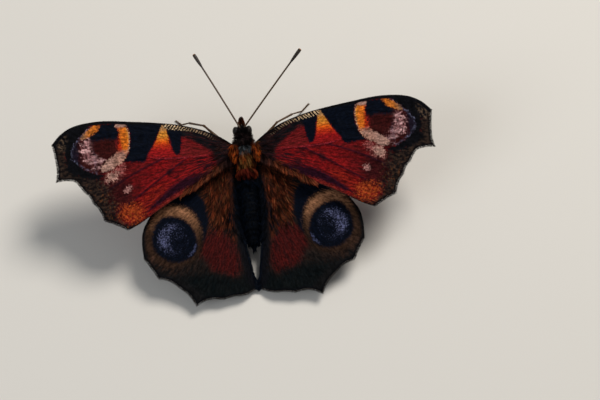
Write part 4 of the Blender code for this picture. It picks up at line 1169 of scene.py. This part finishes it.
def thorax_coat(skin, rng):
    spots, normals = scattered(skin.data, 12000, rng, lambda p, n: (p[:, 1] > -3.8) * (p[:, 1] < 4.5) * 1.0)
    x, y, z = spots.T
    top = step(normals[:, 2], 0.1, 0.6)
    flank = step(np.abs(normals[:, 0]), 0.45, 0.85)
    ruff = step(y, 3.0, 4.0)
    wide = np.sign(x) * flank * (0.25 + 0.75 * step(-y, 0.0, 1.6) + 0.9 * ruff)
    lies = np.column_stack([0.2 * x + wide, -1.0 + 1.3 * ruff, -0.35 + 0.35 * top + 0.3 * flank])
    lies += 0.25 * wander(spots, 0.5, 2)
    lengths = 0.7 + 0.4 * rng.random(len(x)) + 0.7 * step(-y, 0.2, 2.4) * np.maximum(top, flank)
    lengths *= 1 - 0.25 * step(y, 1.0, 2.0) * top
    lifts = 0.45 + 0.2 * rng.random(len(x)) + 0.6 * ruff
    return tufts("thorax_hair", spots, normals, lies, lengths, 0.055, lifts, rng, unrolled(spots, -3.8, 4.5),
                 lock=0.055)


def abdomen_coat(skin, rng):
    spots, normals = scattered(skin.data, 10500, rng, lambda p,
                               n: (p[:, 1] < -3.0) * (1 + 1.6 * (np.abs(n[:, 0]) > 0.7)))
    x, y, z = spots.T
    side = step(np.abs(normals[:, 0]), 0.5, 0.95)
    tail = step(-y, 13.2, 15.0)
    lies = np.column_stack([0.62 * np.sign(x) * side, -np.ones(len(x)), 0.05 * side])
    lies += 0.12 * wander(spots, 0.8, 3)
    lengths = 0.38 + 0.2 * rng.random(len(x)) + 0.6 * side + 0.1 * tail
    lifts = 0.12 + 0.25 * side + 0.1 * rng.random(len(x))
    return tufts("abdomen_hair", spots, normals, lies, lengths, 0.07, lifts, rng, unrolled(spots, -15.4,
                                                                                           -3.0),
                 stations=(0.0, 0.5), profile=(0.9, 1.0), thickness=0.35, sunk=0.03, lock=0.3, pull=0.3)


def body_colour(f, place):
    """The colours of skin and coat, zone by zone along the body."""
    blotch = f.noise(place, 1.6, 2.0, 0.6)
    x = f.math("ABSOLUTE", f.axis(place, 0))
    y = f.math("MULTIPLY_ADD", f.math("SUBTRACT", blotch, 0.5), 1.6, f.axis(place, 1))
    z = f.axis(place, 2)
    colour = f.mix(f.between(y, -2.9, -2.1), ABDOMEN_BLACK, RUSSET)
    warm = f.mix(f.between(f.noise(f.stretched(place, (3.0, 0.8, 1.5)), 1.0, 2.0), 0.42, 0.58), (0.17,
        0.040, 0.009), GOLD)
    colour = f.mix(f.between(y, -1.7, -0.7), colour, warm)
    # The front of the thorax: grey hair with a painted blue sheen.
    colour = f.mix(f.between(y, 0.9, 1.7), colour, STEEL_AND_SHEEN)
    # Painted shade: the thorax's sides ahead of its middle are darkened where the wing roots meet them.
    wing_root_shade = f.math("MULTIPLY", f.between(x, 0.85, 1.1), f.between(y, -0.9, 0.1))
    colour = f.mix(f.math("MULTIPLY", wing_root_shade, 0.9), colour, HEAD_DARK)
    side = f.math("MULTIPLY", f.between(x, 1.0, 1.4), f.between(y, -3.0, -1.8))
    side = f.math("MULTIPLY", side, f.between(y, 0.3, -0.9))
    colour = f.mix(f.math("MULTIPLY", side, 0.75), colour, (0.22, 0.036, 0.007))
    shoulder = f.mix(f.between(x, 1.05, 1.45), COLLAR_BROWN, (0.085, 0.030, 0.018))
    colour = f.mix(f.between(y, 2.5, 2.9), colour, shoulder)
    colour = f.mix(f.between(y, 3.9, 4.4), colour, HEAD_DARK)
    flank = f.math("MULTIPLY", f.between(z, 0.3, -0.9), f.between(y, -3.4, -2.6))
    return f.mix(flank, colour, BELLY_BROWN)


def skin_finish():
    f = Finish("body_chitin", roughness=0.6, specular=0.05)
    place = f.attribute("place", "Vector")
    colour = f.shade(body_colour(f, place), 0.25)
    f.bump(f.noise(place, 9.0, 3.0, 0.6), 0.05, 0.6)
    return f.done(colour)


def hair_finish(name, zones=body_colour, stray=GOLD, stray_share=0.0, roughness=0.6,
                dark_zones=None):
    """Hair that takes its zone's colour at the root, varies from tuft to tuft and pales to the tip."""
    f = Finish(name, roughness=roughness, specular=0.03)
    place = f.attribute("place", "Vector")
    colour = zones(f, place)
    tone = f.attribute("tone")
    if stray_share:
        colour = f.mix(f.between(f.math("FRACT", f.math("MULTIPLY", tone, 13.0)), 1 - stray_share - 0.02,
                                 1 - stray_share), colour, stray)
    if dark_zones:
        colour = dark_zones(f, place, colour)
    spread = f.math("POWER", f.math("FRACT", f.math("MULTIPLY", tone, 7.0)), 1.5)
    own = f.between(spread, 0.0, 1.0, 0.55, 1.5, "LINEAR")
    locks = f.between(f.math("POWER", f.attribute("lock"), 1.7), 0.0, 1.0, 0.16, 2.1, "LINEAR")
    brightness = f.math("MULTIPLY", own, locks)
    along = f.between(f.attribute("along"), 0.0, 1.0, 0.5, 1.25, "LINEAR")
    return f.done(f.shade(colour, f.math("MULTIPLY", brightness, along)))


def plain_zone(colour, other, pitch=2.0):
    """A coat of one colour that drifts towards another."""
    def zones(f, place):
        return f.mix(f.between(f.noise(place, pitch, 2.0, 0.6), 0.35, 0.65), colour, other)

    return zones


def body():
    rng = np.random.default_rng(RANDOM_SEED)
    skin = body_skin()
    store(skin.data, "place", skin_points(skin.data))
    map_skin(skin.data, -15.4, 6.4)
    coats = [head_coat(skin, rng), thorax_coat(skin, rng), abdomen_coat(skin, rng)]
    put(skin, "body", ["head", "thorax", "abdomen"], skin_finish())
    hair = hair_finish("body_hair")
    for coat, node in zip(coats, ("head", "thorax", "abdomen")):
        put(coat, "body", [node], hair)


def tegula_finish():
    f = Finish("tegula_chitin", roughness=0.5)
    place = f.attribute("place", "Vector")
    return f.done(f.mix(f.noise(place, 3.0), (0.014, 0.006, 0.004), (0.035, 0.010, 0.005)))


def tegula_zones(f, place):
    return f.mix(f.between(f.noise(place, 1.6, 2.0, 0.6), 0.35, 0.65), (0.10, 0.018, 0.006), (0.31, 0.052,
                                                                                              0.006))


def tegula_edges(f, place, colour):
    """The hair of each plate darkens towards the middle of the back."""
    x = f.math("ABSOLUTE", f.axis(place, 0))
    uneven = f.math("MULTIPLY_ADD", f.noise(place, 2.5, 2.0), 0.5, x)
    return f.mix(f.between(uneven, 1.45, 1.9), (0.016, 0.007, 0.006), colour)


def tegulae():
    rng = np.random.default_rng(RANDOM_SEED + 1)
    plate_finish = tegula_finish()
    hair = hair_finish("tegula_hair", tegula_zones, GOLD, 0.08, dark_zones=tegula_edges)
    for side_name, side in SIDES.items():
        node = f"tegula_{side_name}"
        plate = rounded(f"{node}_plate", TEGULA, 0.19, TEGULA_LEAN, side, segments=32, rings=20)
        store(plate.data, "place", skin_points(plate.data))
        spots, normals = scattered(plate.data, 1400, rng)
        lies = np.column_stack([np.full(len(spots), 0.2 * side), -np.ones(len(spots)), np.zeros(len(spots))])
        lies += 0.3 * wander(spots, 0.5, 4)
        low, high = spots[:, 1].min(), spots[:, 1].max()
        heading = np.broadcast_to((0.0, 1.0, 0.0), spots.shape)
        middle = skin_points(plate.data).mean(0)
        flat = wound_round(spots, middle, heading, (spots[:, 1] - low) / (high - low))
        lengths = 0.6 + 0.6 * rng.random(len(spots))
        coat = tufts(f"{node}_hair", spots, normals, lies, lengths, 0.055, 0.35, rng, flat, sunk=0.02,
                     lock=0.035)
        put(plate, "body", [node], plate_finish)
        put(coat, "body", [node], hair)


def eye_finish():
    f = Finish("eye_facets", roughness=0.4, specular=0.15)
    place = f.attribute("place", "Vector")
    facets = f.cells(f.stretched(place, (22.0, 22.0, 22.0)), "Distance", 0.25)
    f.bump(facets, 0.012, 0.35)
    f.shader.inputs["Coat Weight"].default_value = 0.06
    f.shader.inputs["Coat Roughness"].default_value = 0.12
    bands = f.noise(f.stretched(place, (0.8, 0.8, 2.2)), 1.0, 2.0)
    return f.done(f.mix(f.between(bands, 0.35, 0.65), (0.0035, 0.0028, 0.0028), (0.010, 0.0055, 0.0040)))


def eyes():
    facets = eye_finish()
    for side_name, side in SIDES.items():
        ball = rounded(f"eye_{side_name}_ball", EYE, 0.02, side=side, segments=64, rings=40)
        store(ball.data, "place", skin_points(ball.data))
        put(ball, "eye", [f"eye_{side_name}"], facets)


def antenna_finish():
    f = Finish("antenna_rings", roughness=0.45)
    run = f.attribute("joint")
    ring = f.math("FRACT", run)
    pale = f.between(ring, 0.12, 0.26, 1.0, 0.0)
    share = f.attribute("share")
    pale = f.math("MULTIPLY", pale, f.between(share, 0.05, 0.82, 0.75, 0.35))
    colour = f.mix(f.between(share, 0.70, 0.86), (0.050, 0.024, 0.010), (0.008, 0.006, 0.006))
    colour = f.mix(pale, colour, (0.22, 0.14, 0.075))
    return f.done(f.mix(f.between(share, 0.982, 0.995), colour, (0.30, 0.13, 0.04)))


def antennae():
    """Each feeler is a thin jointed shaft that swells to a blunt club with a pale tip."""
    rings = antenna_finish()
    for side_name, side in SIDES.items():
        root = np.array((side * ANTENNA_ROOT[0], *ANTENNA_ROOT[1:]))
        tip = np.array(ANTENNA_TIPS[side_name])
        steps = 4
        count = ANTENNA_JOINTS * steps
        path, radii, joint = [], [], []
        for i in range(count + 1):
            share = -0.03 + 1.03 * i / count
            path.append(root + (tip - root) * share + (0, 0,
                                                       ANTENNA_BOW * math.sin(math.pi * max(0.0, share))))
            club = max(0.0, 1 - (1 - share) / CLUB_SHARE)
            radius = SHAFT_RADIUS + (CLUB_RADIUS - SHAFT_RADIUS) * math.sin(math.pi * min(1.0,
                                                                                          0.62 * club**0.9))
            waist = 0.86 if i % steps == 0 else 1.0
            radii.append(radius * (waist + (1 - waist) * min(1.0, club)))
            joint.append(i / steps)
        radii += [radii[-1] * 0.8, radii[-1] * 0.35]
        ahead = (tip - root) / np.linalg.norm(tip - root)
        path += [path[-1] + ahead * 0.12, path[-1] + ahead * 0.17]
        feeler = rod(f"antenna_{side_name}_shaft", path, radii, sides=12)
        run = np.zeros(len(feeler.data.vertices))
        feeler.data.attributes["run"].data.foreach_get("value", run)
        store(feeler.data, "joint", run * (len(path) - 1) / steps)
        store(feeler.data, "share", run)
        put(feeler, "antenna", [f"antenna_{side_name}"], rings)


def limb_hair(name, limb, count, rng, lengths, widths, lifts, stations=(0.0, 0.5), profile=(0.9, 0.8)):
    """Scales and hairs on a limb, laid along it towards its tip."""
    mesh = limb.data
    run = np.zeros(len(mesh.vertices))
    mesh.attributes["run"].data.foreach_get("value", run)
    points = skin_points(mesh)
    spots, normals = scattered(mesh, count, rng)
    near = np.array([np.argmin(np.sum((points - s) ** 2, axis=1)) for s in spots])
    levels = np.unique(run)
    middles = np.array([points[run == level].mean(0) for level in levels])
    heading = unit(np.gradient(middles, axis=0))
    level = np.searchsorted(levels, run[near])
    lies = heading[level] + 0.15 * wander(spots, 0.5, 5)
    flat = wound_round(spots, middles[level], heading[level], run[near])
    return tufts(name, spots, normals, lies, lengths, widths, lifts, rng, flat, stations=stations,
                 profile=profile,
                 thickness=0.4, sunk=0.02)


def palps():
    """Two hairy palps curve forwards and up in front of the face."""
    rng = np.random.default_rng(RANDOM_SEED + 2)
    core = Finish("palp_chitin", roughness=0.5)
    core_finish = core.done((0.02, 0.012, 0.008))
    hair = hair_finish("palp_hair", plain_zone(HEAD_DARK, RUSSET), (0.20, 0.095, 0.03), 0.3)
    for side_name, side in SIDES.items():
        path = [(side * x, y, z) for x, y, z in PALP_PATH]
        line, radii = tapered(path, PALP_RADII, 0.12)
        palp = rod(f"palp_{side_name}_core", line, radii, sides=12)
        lengths = 0.32 + 0.24 * rng.random(1500)
        coat = limb_hair(f"palp_{side_name}_hair", palp, 1500, rng, lengths, 0.05, 0.6)
        put(palp, "body", [f"palp_{side_name}"], core_finish)
        put(coat, "body", [f"palp_{side_name}"], hair)


def tongue():
    """The tongue, coiled like a watch spring under the face."""
    path = [np.array(p) for p in TONGUE_ROOT]
    steps = 26 * 3
    for i in range(steps + 1):
        share = i / steps
        angle = math.radians(112.0) - 2 * math.pi * TONGUE_TURNS * share
        radius = TONGUE_RADIUS[0] + (TONGUE_RADIUS[1] - TONGUE_RADIUS[0]) * share
        path.append(np.array(TONGUE_CENTRE) + (0, radius * math.cos(angle), radius * math.sin(angle)))
    thick, thin = TONGUE_WIRE
    radii = [thick + (thin - thick) * i / (len(path) - 1) for i in range(len(path))]
    radii = [r * (0.93 if i % 2 else 1.0) for i, r in enumerate(radii)]
    coil = rod("proboscis_coil", path, radii, sides=12)
    f = Finish("tongue_chitin", roughness=0.35)
    bands = f.math("SINE", f.math("MULTIPLY", f.attribute("run"), 700.0))
    finish = f.done(f.mix(f.between(bands, -0.5, 0.5), (0.045, 0.022, 0.010), (0.085, 0.045, 0.020)))
    put(coil, "leg", ["proboscis"], finish)


def leg_path(name, pair, side):
    """The middle line of a leg and its radius, from the hip to the toe, in the body's frame."""
    to_body = np.array(BODY_POSE.inverted())
    knee, ankle, toe = (np.array((side * x, y, z)) for x, y, z in LEG_JOINTS[name])
    toe[2] = SOLE_HEIGHT
    hips = [np.array((side * x, y, z)) for x, y, z in LEG_ROOTS[pair]]
    path = list(carried(np.array(hips), BODY_POSE))
    radii = [HIP_RADIUS, HIP_RADIUS, 0.24]
    hip = path[-1]
    for start, end, shape in ((hip, knee, FEMUR), (knee, ankle, TIBIA)):
        for share, radius in shape:
            path.append(start + (end - start) * share)
            radii.append(radius)
    for first, last in zip(TARSUS_SHARES, TARSUS_SHARES[1:]):
        for share, radius in TARSUS_JOINT:
            along = first + (last - first) * share
            point = ankle + (toe - ankle) * along
            point[2] = ankle[2] + (toe[2] - ankle[2]) * min(1.0, along / TARSUS_TOUCHDOWN)
            path.append(point)
            radii.append(radius)
    return carried(np.array(path), to_body), radii


def claws(name, toe, heading, side_way, up):
    """Two small hooked claws at the end of a foot."""
    made = []
    for turn in (-1, 1):
        path, radii = [], []
        for share in (0.0, 0.3, 0.6, 0.85, 1.0):
            bend = math.sin(0.5 * math.pi * share)
            out = side_way * turn * (0.05 + 0.12 * bend)
            path.append(toe + heading * 0.3 * bend + out - up * 0.13 * share**2)
            radii.append(0.05 * (1 - 0.85 * share))
        made.append(rod(f"{name}_claw", path, radii, sides=8))
    return made


def spines(path, rng, count=14):
    """Short stiff spines in rows along the tibia, and two spurs at its end."""
    first, last = 3 + len(FEMUR), 3 + len(FEMUR) + len(TIBIA) - 1
    start, end = path[first], path[last]
    heading = unit(end - start)
    side_way = unit(np.cross(heading, (0.1, 0.2, 1.0)))
    made = []
    for i in range(count):
        share = 0.12 + 0.84 * i / (count - 1)
        angle = 2.4 * i + 0.4 * rng.random()
        spur = i >= count - 2
        out = side_way * math.cos(angle) + np.cross(heading, side_way) * math.sin(angle)
        root = start + (end - start) * share + out * 0.12
        length = 0.55 if spur else 0.24
        tip = root + (heading * 0.85 + out * 0.5) * length
        made.append(rod("spine", [root, (root + tip) / 2 + out * 0.02, tip], [0.03, 0.022, 0.004], sides=5))
    return made


def leg_finish():
    f = Finish("leg_chitin", roughness=0.5, specular=0.3)
    run = f.attribute("run")
    place = f.attribute("place", "Vector")
    colour = f.mix(f.between(f.noise(place, 2.5, 3.0), 0.35, 0.7), LEG_BROWN, (0.06, 0.028, 0.012))
    dark = f.between(run, 0.0, 0.14, 1.0, 0.0)
    f.bump(f.noise(place, 14.0, 2.0), 0.03, 0.5)
    return f.done(f.mix(dark, colour, (0.03, 0.018, 0.012)))


def legs():
    rng = np.random.default_rng(RANDOM_SEED + 3)
    chitin = leg_finish()
    scales = hair_finish("leg_scales", plain_zone(LEG_BROWN, (0.05, 0.026, 0.013)), (0.20, 0.13, 0.07), 0.2)
    for side_name, side in SIDES.items():
        for pair in LEG_ROOTS:
            node = f"{pair}_{side_name}"
            path, radii = leg_path(node, pair, side)
            limb = rod(f"{node}_limb", path, radii, sides=14)
            coat = limb_hair(f"{node}_scales", limb, 1500, rng, 0.2 + 0.12 * rng.random(1500), 0.05, 0.2)
            heading = unit(path[-1] - path[-3])
            side_way = unit(np.cross(heading, (0, 0, 1)))
            up = np.cross(side_way, heading)
            parts = [limb, *claws(node, path[-1], heading, side_way, up), *spines(path, rng)]
            limb = joined(f"{node}_limb", parts)
            store(limb.data, "place", skin_points(limb.data))
            put(limb, "leg", [node], chitin)
            put(coat, "leg", [node], scales)


def brush_legs():
    """The two short front legs, folded against the breast and thick with hair."""
    rng = np.random.default_rng(RANDOM_SEED + 4)
    core = Finish("brush_leg_chitin", roughness=0.5)
    core_finish = core.done((0.03, 0.018, 0.010))
    hair = hair_finish("brush_leg_hair", plain_zone(BELLY_BROWN, (0.07, 0.04, 0.022)))
    for side_name, side in SIDES.items():
        node = f"foreleg_{side_name}"
        line, radii = tapered([(side * x, y, z) for x, y, z in BRUSH_LEG], BRUSH_RADII, 0.12)
        limb = rod(f"{node}_core", line, radii, sides=12)
        lengths = 0.4 + 0.35 * rng.random(1100)
        coat = limb_hair(f"{node}_hair", limb, 1100, rng, lengths, 0.05, 0.4)
        put(limb, "body", [node], core_finish)
        put(coat, "body", [node], hair)


# Hair and fringe of the wings


def wing_grid(sheet, side, points, lift=0.0):
    """At each place of the plan: the point on the upper surface, the plan's two directions there, and up."""
    step_size = 0.05
    here = sheet.place(side, points, lift)
    out = unit(sheet.place(side, points + (step_size, 0), lift) - here)
    ahead = unit(sheet.place(side, points + (0, step_size), lift) - here)
    return here, out, ahead, unit(np.cross(out, ahead)) * side


def fringe(name, sheet, side, rng):
    """Fine scales that stand out from the margin in two layers."""
    full, insets = wing_edges(sheet.plan)
    rim = sheet.outline
    out = outward(full)
    lengths = np.linalg.norm(np.roll(rim, -1, axis=0) - rim, axis=1)
    run = np.concatenate([[0], np.cumsum(lengths)])
    spots = np.arange(0, run[-1], 0.035)
    spots = spots + 0.02 * rng.random(len(spots))
    own = np.clip(np.searchsorted(run, spots, side="right") - 1, 0, len(rim) - 1)
    share = ((spots - run[own]) / np.maximum(lengths[own], 1e-9))[:, None]
    after = (own + 1) % len(rim)
    points = rim[own] + (rim[after] - rim[own]) * share
    heading = unit(out[own] * (1 - share) + out[after] * share)
    reach = insets[own] * (1 - share[:, 0]) + insets[after] * share[:, 0]
    kept = points[:, 0] > 0.8 if sheet.plan is FOREWING else points[:, 1] < -1.5
    points, heading, reach = points[kept] - heading[kept] * 0.06, heading[kept], reach[kept]
    here, x_way, y_way, up = wing_grid(sheet, side, points, 0.0)
    lies = x_way * heading[:, :1] + y_way * heading[:, 1:] + 0.18 * rng.normal(size=here.shape)
    lengths = (0.12 + 1.05 * reach) * (0.8 + 0.35 * rng.random(len(points)))
    layer = np.where(rng.random(len(points)) < 0.5, 1, -1)[:, None]
    low, high = sheet.points.min(0) - 0.5, sheet.points.max(0) + 0.5
    flat = (points - low) / (high - low) * 0.94 + 0.02
    return tufts(name, here + up * 0.015 * layer, up, lies, lengths, 0.055, 0.0, rng, flat, stations=(0.0,
                                                                                                      0.7),
                 profile=(0.8, 1.0), thickness=0.25, curl=0.05, sunk=0.0)


def fringe_finish():
    f = Finish("fringe_scales", roughness=0.6, specular=0.15)
    tone = f.attribute("tone")
    colour = f.mix(f.between(tone, 0.55, 0.95), (0.007, 0.006, 0.006), (0.035, 0.026, 0.020))
    return f.done(f.shade(colour, f.between(f.attribute("along"), 0.0, 1.0, 0.7, 1.5, "LINEAR")))


def hindwing_hair(name, sheet, side, rng):
    """Long hair over the root of the hindwing, and longer dark hair that closes the way to the abdomen."""
    count = 6000
    points = np.column_stack([rng.uniform(-2.6, 6.2, count), rng.uniform(-21.0, 1.0, count)])
    x, y = points.T
    zone = step(5.6 - x + 0.10 * y, 0.0, 1.4) * step(y, -12.6, -9.0) * 0.8
    gap, _ = to_line(points, as_array(smooth(HINDWING["inner"], 0.5)))
    margin = step(1.1 - gap, 0.0, 0.9) * step(-y, 0.5, 2.0) * np.where(y > -14.5, 1.0, 0.35)
    kept = inside(points, sheet.outline) & (rng.random(count) < np.maximum(zone, margin))
    points = points[kept]
    rooted = 3600
    line = as_array(smooth((HINDWING["margin"]["2A"][0], *HINDWING["inner"], (-1.1, 0.7)), 0.1))
    edge = line[rng.integers(0, len(line), rooted)] + rng.uniform((0.0, -0.1), (0.35, 0.1), (rooted, 2))
    points = np.vstack([points, edge])
    x, y = points.T
    on_edge = np.arange(len(points)) >= len(points) - rooted
    here, x_way, y_way, up = wing_grid(sheet, side, points, 0.05)
    foot = step(-y, 19.0, 20.4)
    inwards = np.where(on_edge, 0.9 + 0.5 * rng.random(len(points)) + foot, 0.3 * step(1.0 - x, 0.0, 1.2))
    lies = x_way * (0.10 * np.maximum(x, 0) - inwards)[:, None] - y_way + 0.16 * wander(here, 1.1, 6)
    lengths = 0.7 + 0.6 * rng.random(len(points)) + 0.4 * on_edge
    lengths *= 1 - (0.75 - 0.3 * foot) * step(-y, 12.6, 14.0)
    low, high = np.array((-3.2, -22.0)), np.array((7.0, 2.0))
    flat = (points - low) / (high - low) * 0.94 + 0.02
    lifts = np.where(on_edge, 0.1, 0.2)
    return tufts(name, here, up, lies, lengths, 0.05, lifts, rng, flat, sunk=0.0, lock=0.2)


def forewing_hair(name, sheet, side, rng):
    """Shorter hair over the root of the forewing, and a loose fringe of it over the inner margin."""
    count = 2600
    points = np.column_stack([rng.uniform(-0.6, 9.0, count), rng.uniform(-7.5, 2.6, count)])
    x, y = points.T
    line = as_array(smooth(FOREWING["inner"], 0.1))
    gap, _ = to_line(points, line)
    root = step(3.4 - x, 0.0, 2.4)
    inner = step(1.1 - gap, 0.0, 0.8) * step(8.5 - x, 0.0, 2.0)
    kept = inside(points, sheet.outline) & (rng.random(count) < np.maximum(root, 0.8 * inner))
    rooted = 1500
    edge = line[line[:, 0] < 8.5]
    edge = edge[rng.integers(0, len(edge), rooted)] + rng.uniform((-0.1, 0.0), (0.1, 0.4), (rooted, 2))
    points = np.vstack([points[kept], edge])
    on_edge = (np.arange(len(points)) >= len(points) - rooted)[:, None]
    here, x_way, y_way, up = wing_grid(sheet, side, points, 0.05)
    ray = unit(points - (-2.5, 1.0))
    ray = np.where(on_edge, unit(ray + (-0.25, -1.1)), ray)
    lies = x_way * ray[:, :1] + y_way * ray[:, 1:] + 0.25 * wander(here, 0.8, 7)
    lengths = 0.6 + 0.6 * rng.random(len(points)) + 0.35 * on_edge[:, 0]
    low, high = np.array((-1.5, -8.5)), np.array((10.0, 3.5))
    flat = (points - low) / (high - low) * 0.94 + 0.02
    return tufts(name, here, up, lies, lengths, 0.05, np.where(on_edge[:, 0], 0.05, 0.25), rng, flat,
                 sunk=0.0,
                 lock=0.09)


def wing_hair_zones(f, place):
    """Russet and brown hair at the wings' roots, and blue-black hair along the hindwing's inner margin."""
    blotch = f.noise(f.stretched(place, (2.2, 0.5, 1.0)), 1.0, 2.0, 0.6)
    return f.mix(f.between(blotch, 0.35, 0.62), (0.058, 0.0160, 0.0092), (0.205, 0.040, 0.0150))


def wing_hair_margins_and_shade(f, place, colour):
    """Blue-black hair beside the abdomen, partly painted shade of the gap between wing and abdomen, and dark
    hair in front of the hindwing's root, partly painted shade where the wing roots meet the thorax.
    """
    x = f.math("ABSOLUTE", f.axis(place, 0))
    y = f.axis(place, 1)
    # Blue-black hair beside the abdomen: the inner margin's own dark hair, and also the painted shade of the
    # gap between wing and abdomen.
    tapered_in = f.math("MULTIPLY_ADD", f.math("MINIMUM", f.math("ADD", y, 6.0), 0.0), 0.30, x)
    colour = f.mix(f.between(tapered_in, 3.5, 2.7), colour, (0.0040, 0.0064, 0.0125))
    # Dark hair at the wing roots beside the thorax: partly their own dark colour, partly painted shade where
    # the roots meet the thorax.
    return f.mix(f.between(y, -1.4, 0.2), colour, (0.026, 0.0110, 0.0100))


# Stage


def stage():
    bpy.ops.object.select_all(action="DESELECT")
    bpy.ops.mesh.primitive_plane_add(size=1.6, location=(0, 0, 0))
    floor = bpy.context.object
    floor.name = "floor"
    paper = bpy.data.materials.new("paper_floor")
    paper.use_nodes = True
    shader = paper.node_tree.nodes["Principled BSDF"]
    shader.inputs["Base Color"].default_value = (0.72, 0.70, 0.66, 1.0)
    shader.inputs["Roughness"].default_value = 0.9
    shader.inputs["Specular IOR Level"].default_value = 0.2
    floor.data.materials.append(paper)


def area_light(name, place, size, power, colour):
    data = bpy.data.lights.new(name, "AREA")
    data.shape = "DISK"
    data.size = size
    data.energy = power
    data.color = colour
    lamp = bpy.data.objects.new(name, data)
    lamp.location = place
    lamp.rotation_mode = "QUATERNION"
    lamp.rotation_quaternion = (-Vector(place)).to_track_quat("-Z", "Y")
    bpy.context.scene.collection.objects.link(lamp)


def lights():
    world = bpy.data.worlds.new("studio")
    bpy.context.scene.world = world
    world.use_nodes = True
    back = world.node_tree.nodes["Background"]
    back.inputs["Color"].default_value = (0.95, 0.97, 1.0, 1.0)
    back.inputs["Strength"].default_value = 0.18
    area_light("key", (0.25, 0.28, 0.5), 0.28, 3.3, (1.0, 0.95, 0.88))
    area_light("fill", (-0.4, -0.2, 0.35), 0.35, 0.9, (0.9, 0.95, 1.0))


# The photo's camera: direction, roll and scale, and where the middle of the thorax falls in its picture of
# 600 by 400
PICTURE = (600, 400)
VIEW_AZIMUTH = math.radians(-9.029)
VIEW_ELEVATION = math.radians(64.104)
VIEW_ROLL = math.radians(-2.611)
MM_PER_PIXEL = 0.171
THORAX_PIXEL = (245.36, 160.67)
LENS = 100.0
SENSOR = 36.0


def camera():
    data = bpy.data.cameras.new("photo_camera")
    data.lens = LENS
    data.sensor_width = SENSOR
    data.clip_start = 0.01
    data.clip_end = 10.0
    seen_from = bpy.data.objects.new("photo_camera", data)
    back = Vector((
        math.sin(VIEW_AZIMUTH) * math.cos(VIEW_ELEVATION),
        -math.cos(VIEW_AZIMUTH) * math.cos(VIEW_ELEVATION),
        math.sin(VIEW_ELEVATION),
    ))
    level = Vector((math.cos(VIEW_AZIMUTH), math.sin(VIEW_AZIMUTH), 0))
    upright = back.cross(level)
    right = level * math.cos(VIEW_ROLL) - upright * math.sin(VIEW_ROLL)
    up = level * math.sin(VIEW_ROLL) + upright * math.cos(VIEW_ROLL)
    distance = MM_PER_PIXEL * MM * PICTURE[0] * LENS / SENSOR
    thorax = BODY_TO_FRAME @ Vector((0, 0, 0))
    across = (THORAX_PIXEL[0] - PICTURE[0] / 2) * MM_PER_PIXEL * MM
    above = (PICTURE[1] / 2 - THORAX_PIXEL[1]) * MM_PER_PIXEL * MM
    place = thorax - right * across - up * above + back * distance
    turn = Matrix((right, up, back)).transposed().to_4x4()
    seen_from.matrix_world = Matrix.Translation(place) @ turn
    bpy.context.scene.collection.objects.link(seen_from)
    bpy.context.scene.camera = seen_from
    bpy.context.scene.view_settings.view_transform = "Standard"


def put(piece, slot, nodes, *finishes):
    """Sets a finished piece, made in the body's frame in mm, where the solids are, in metres."""
    piece.data.transform(BODY_TO_FRAME)
    piece.data.update()
    piece.data.materials.clear()
    for finish in finishes:
        piece.data.materials.append(finish)
    piece.data.shade_smooth()
    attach(piece, "root")
    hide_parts(*nodes)


def wings():
    rng = np.random.default_rng(RANDOM_SEED + 5)
    fringes = fringe_finish()
    hair = hair_finish("wing_hair", wing_hair_zones, (0.130, 0.055, 0.022), 0.16,
                       dark_zones=wing_hair_margins_and_shade)
    tops = {"forewing": forewing_top(), "hindwing": hindwing_top()}
    plans = {"forewing": (FOREWING, FOREWING_MARKS), "hindwing": (HINDWING, HINDWING_MARKS)}
    for kind, (plan, marks) in plans.items():
        sheet = Sheet(plan)
        below = wing_under(f"{kind}_underside")
        for side_name, side in SIDES.items():
            node = f"{kind}_{side_name}"
            piece = wing(f"{node}_scaled", sheet, side, marks)
            put(piece, kind, [node], tops[kind], below)
            put(fringe(f"{node}_fringe", sheet, side, rng), kind, [node], fringes)
            grown = forewing_hair if kind == "forewing" else hindwing_hair
            put(grown(f"{node}_hair", sheet, side, rng), kind, [node], hair)


camera()
lights()
stage()
wings()
body()
tegulae()
eyes()
antennae()
palps()
tongue()
legs()
brush_legs()
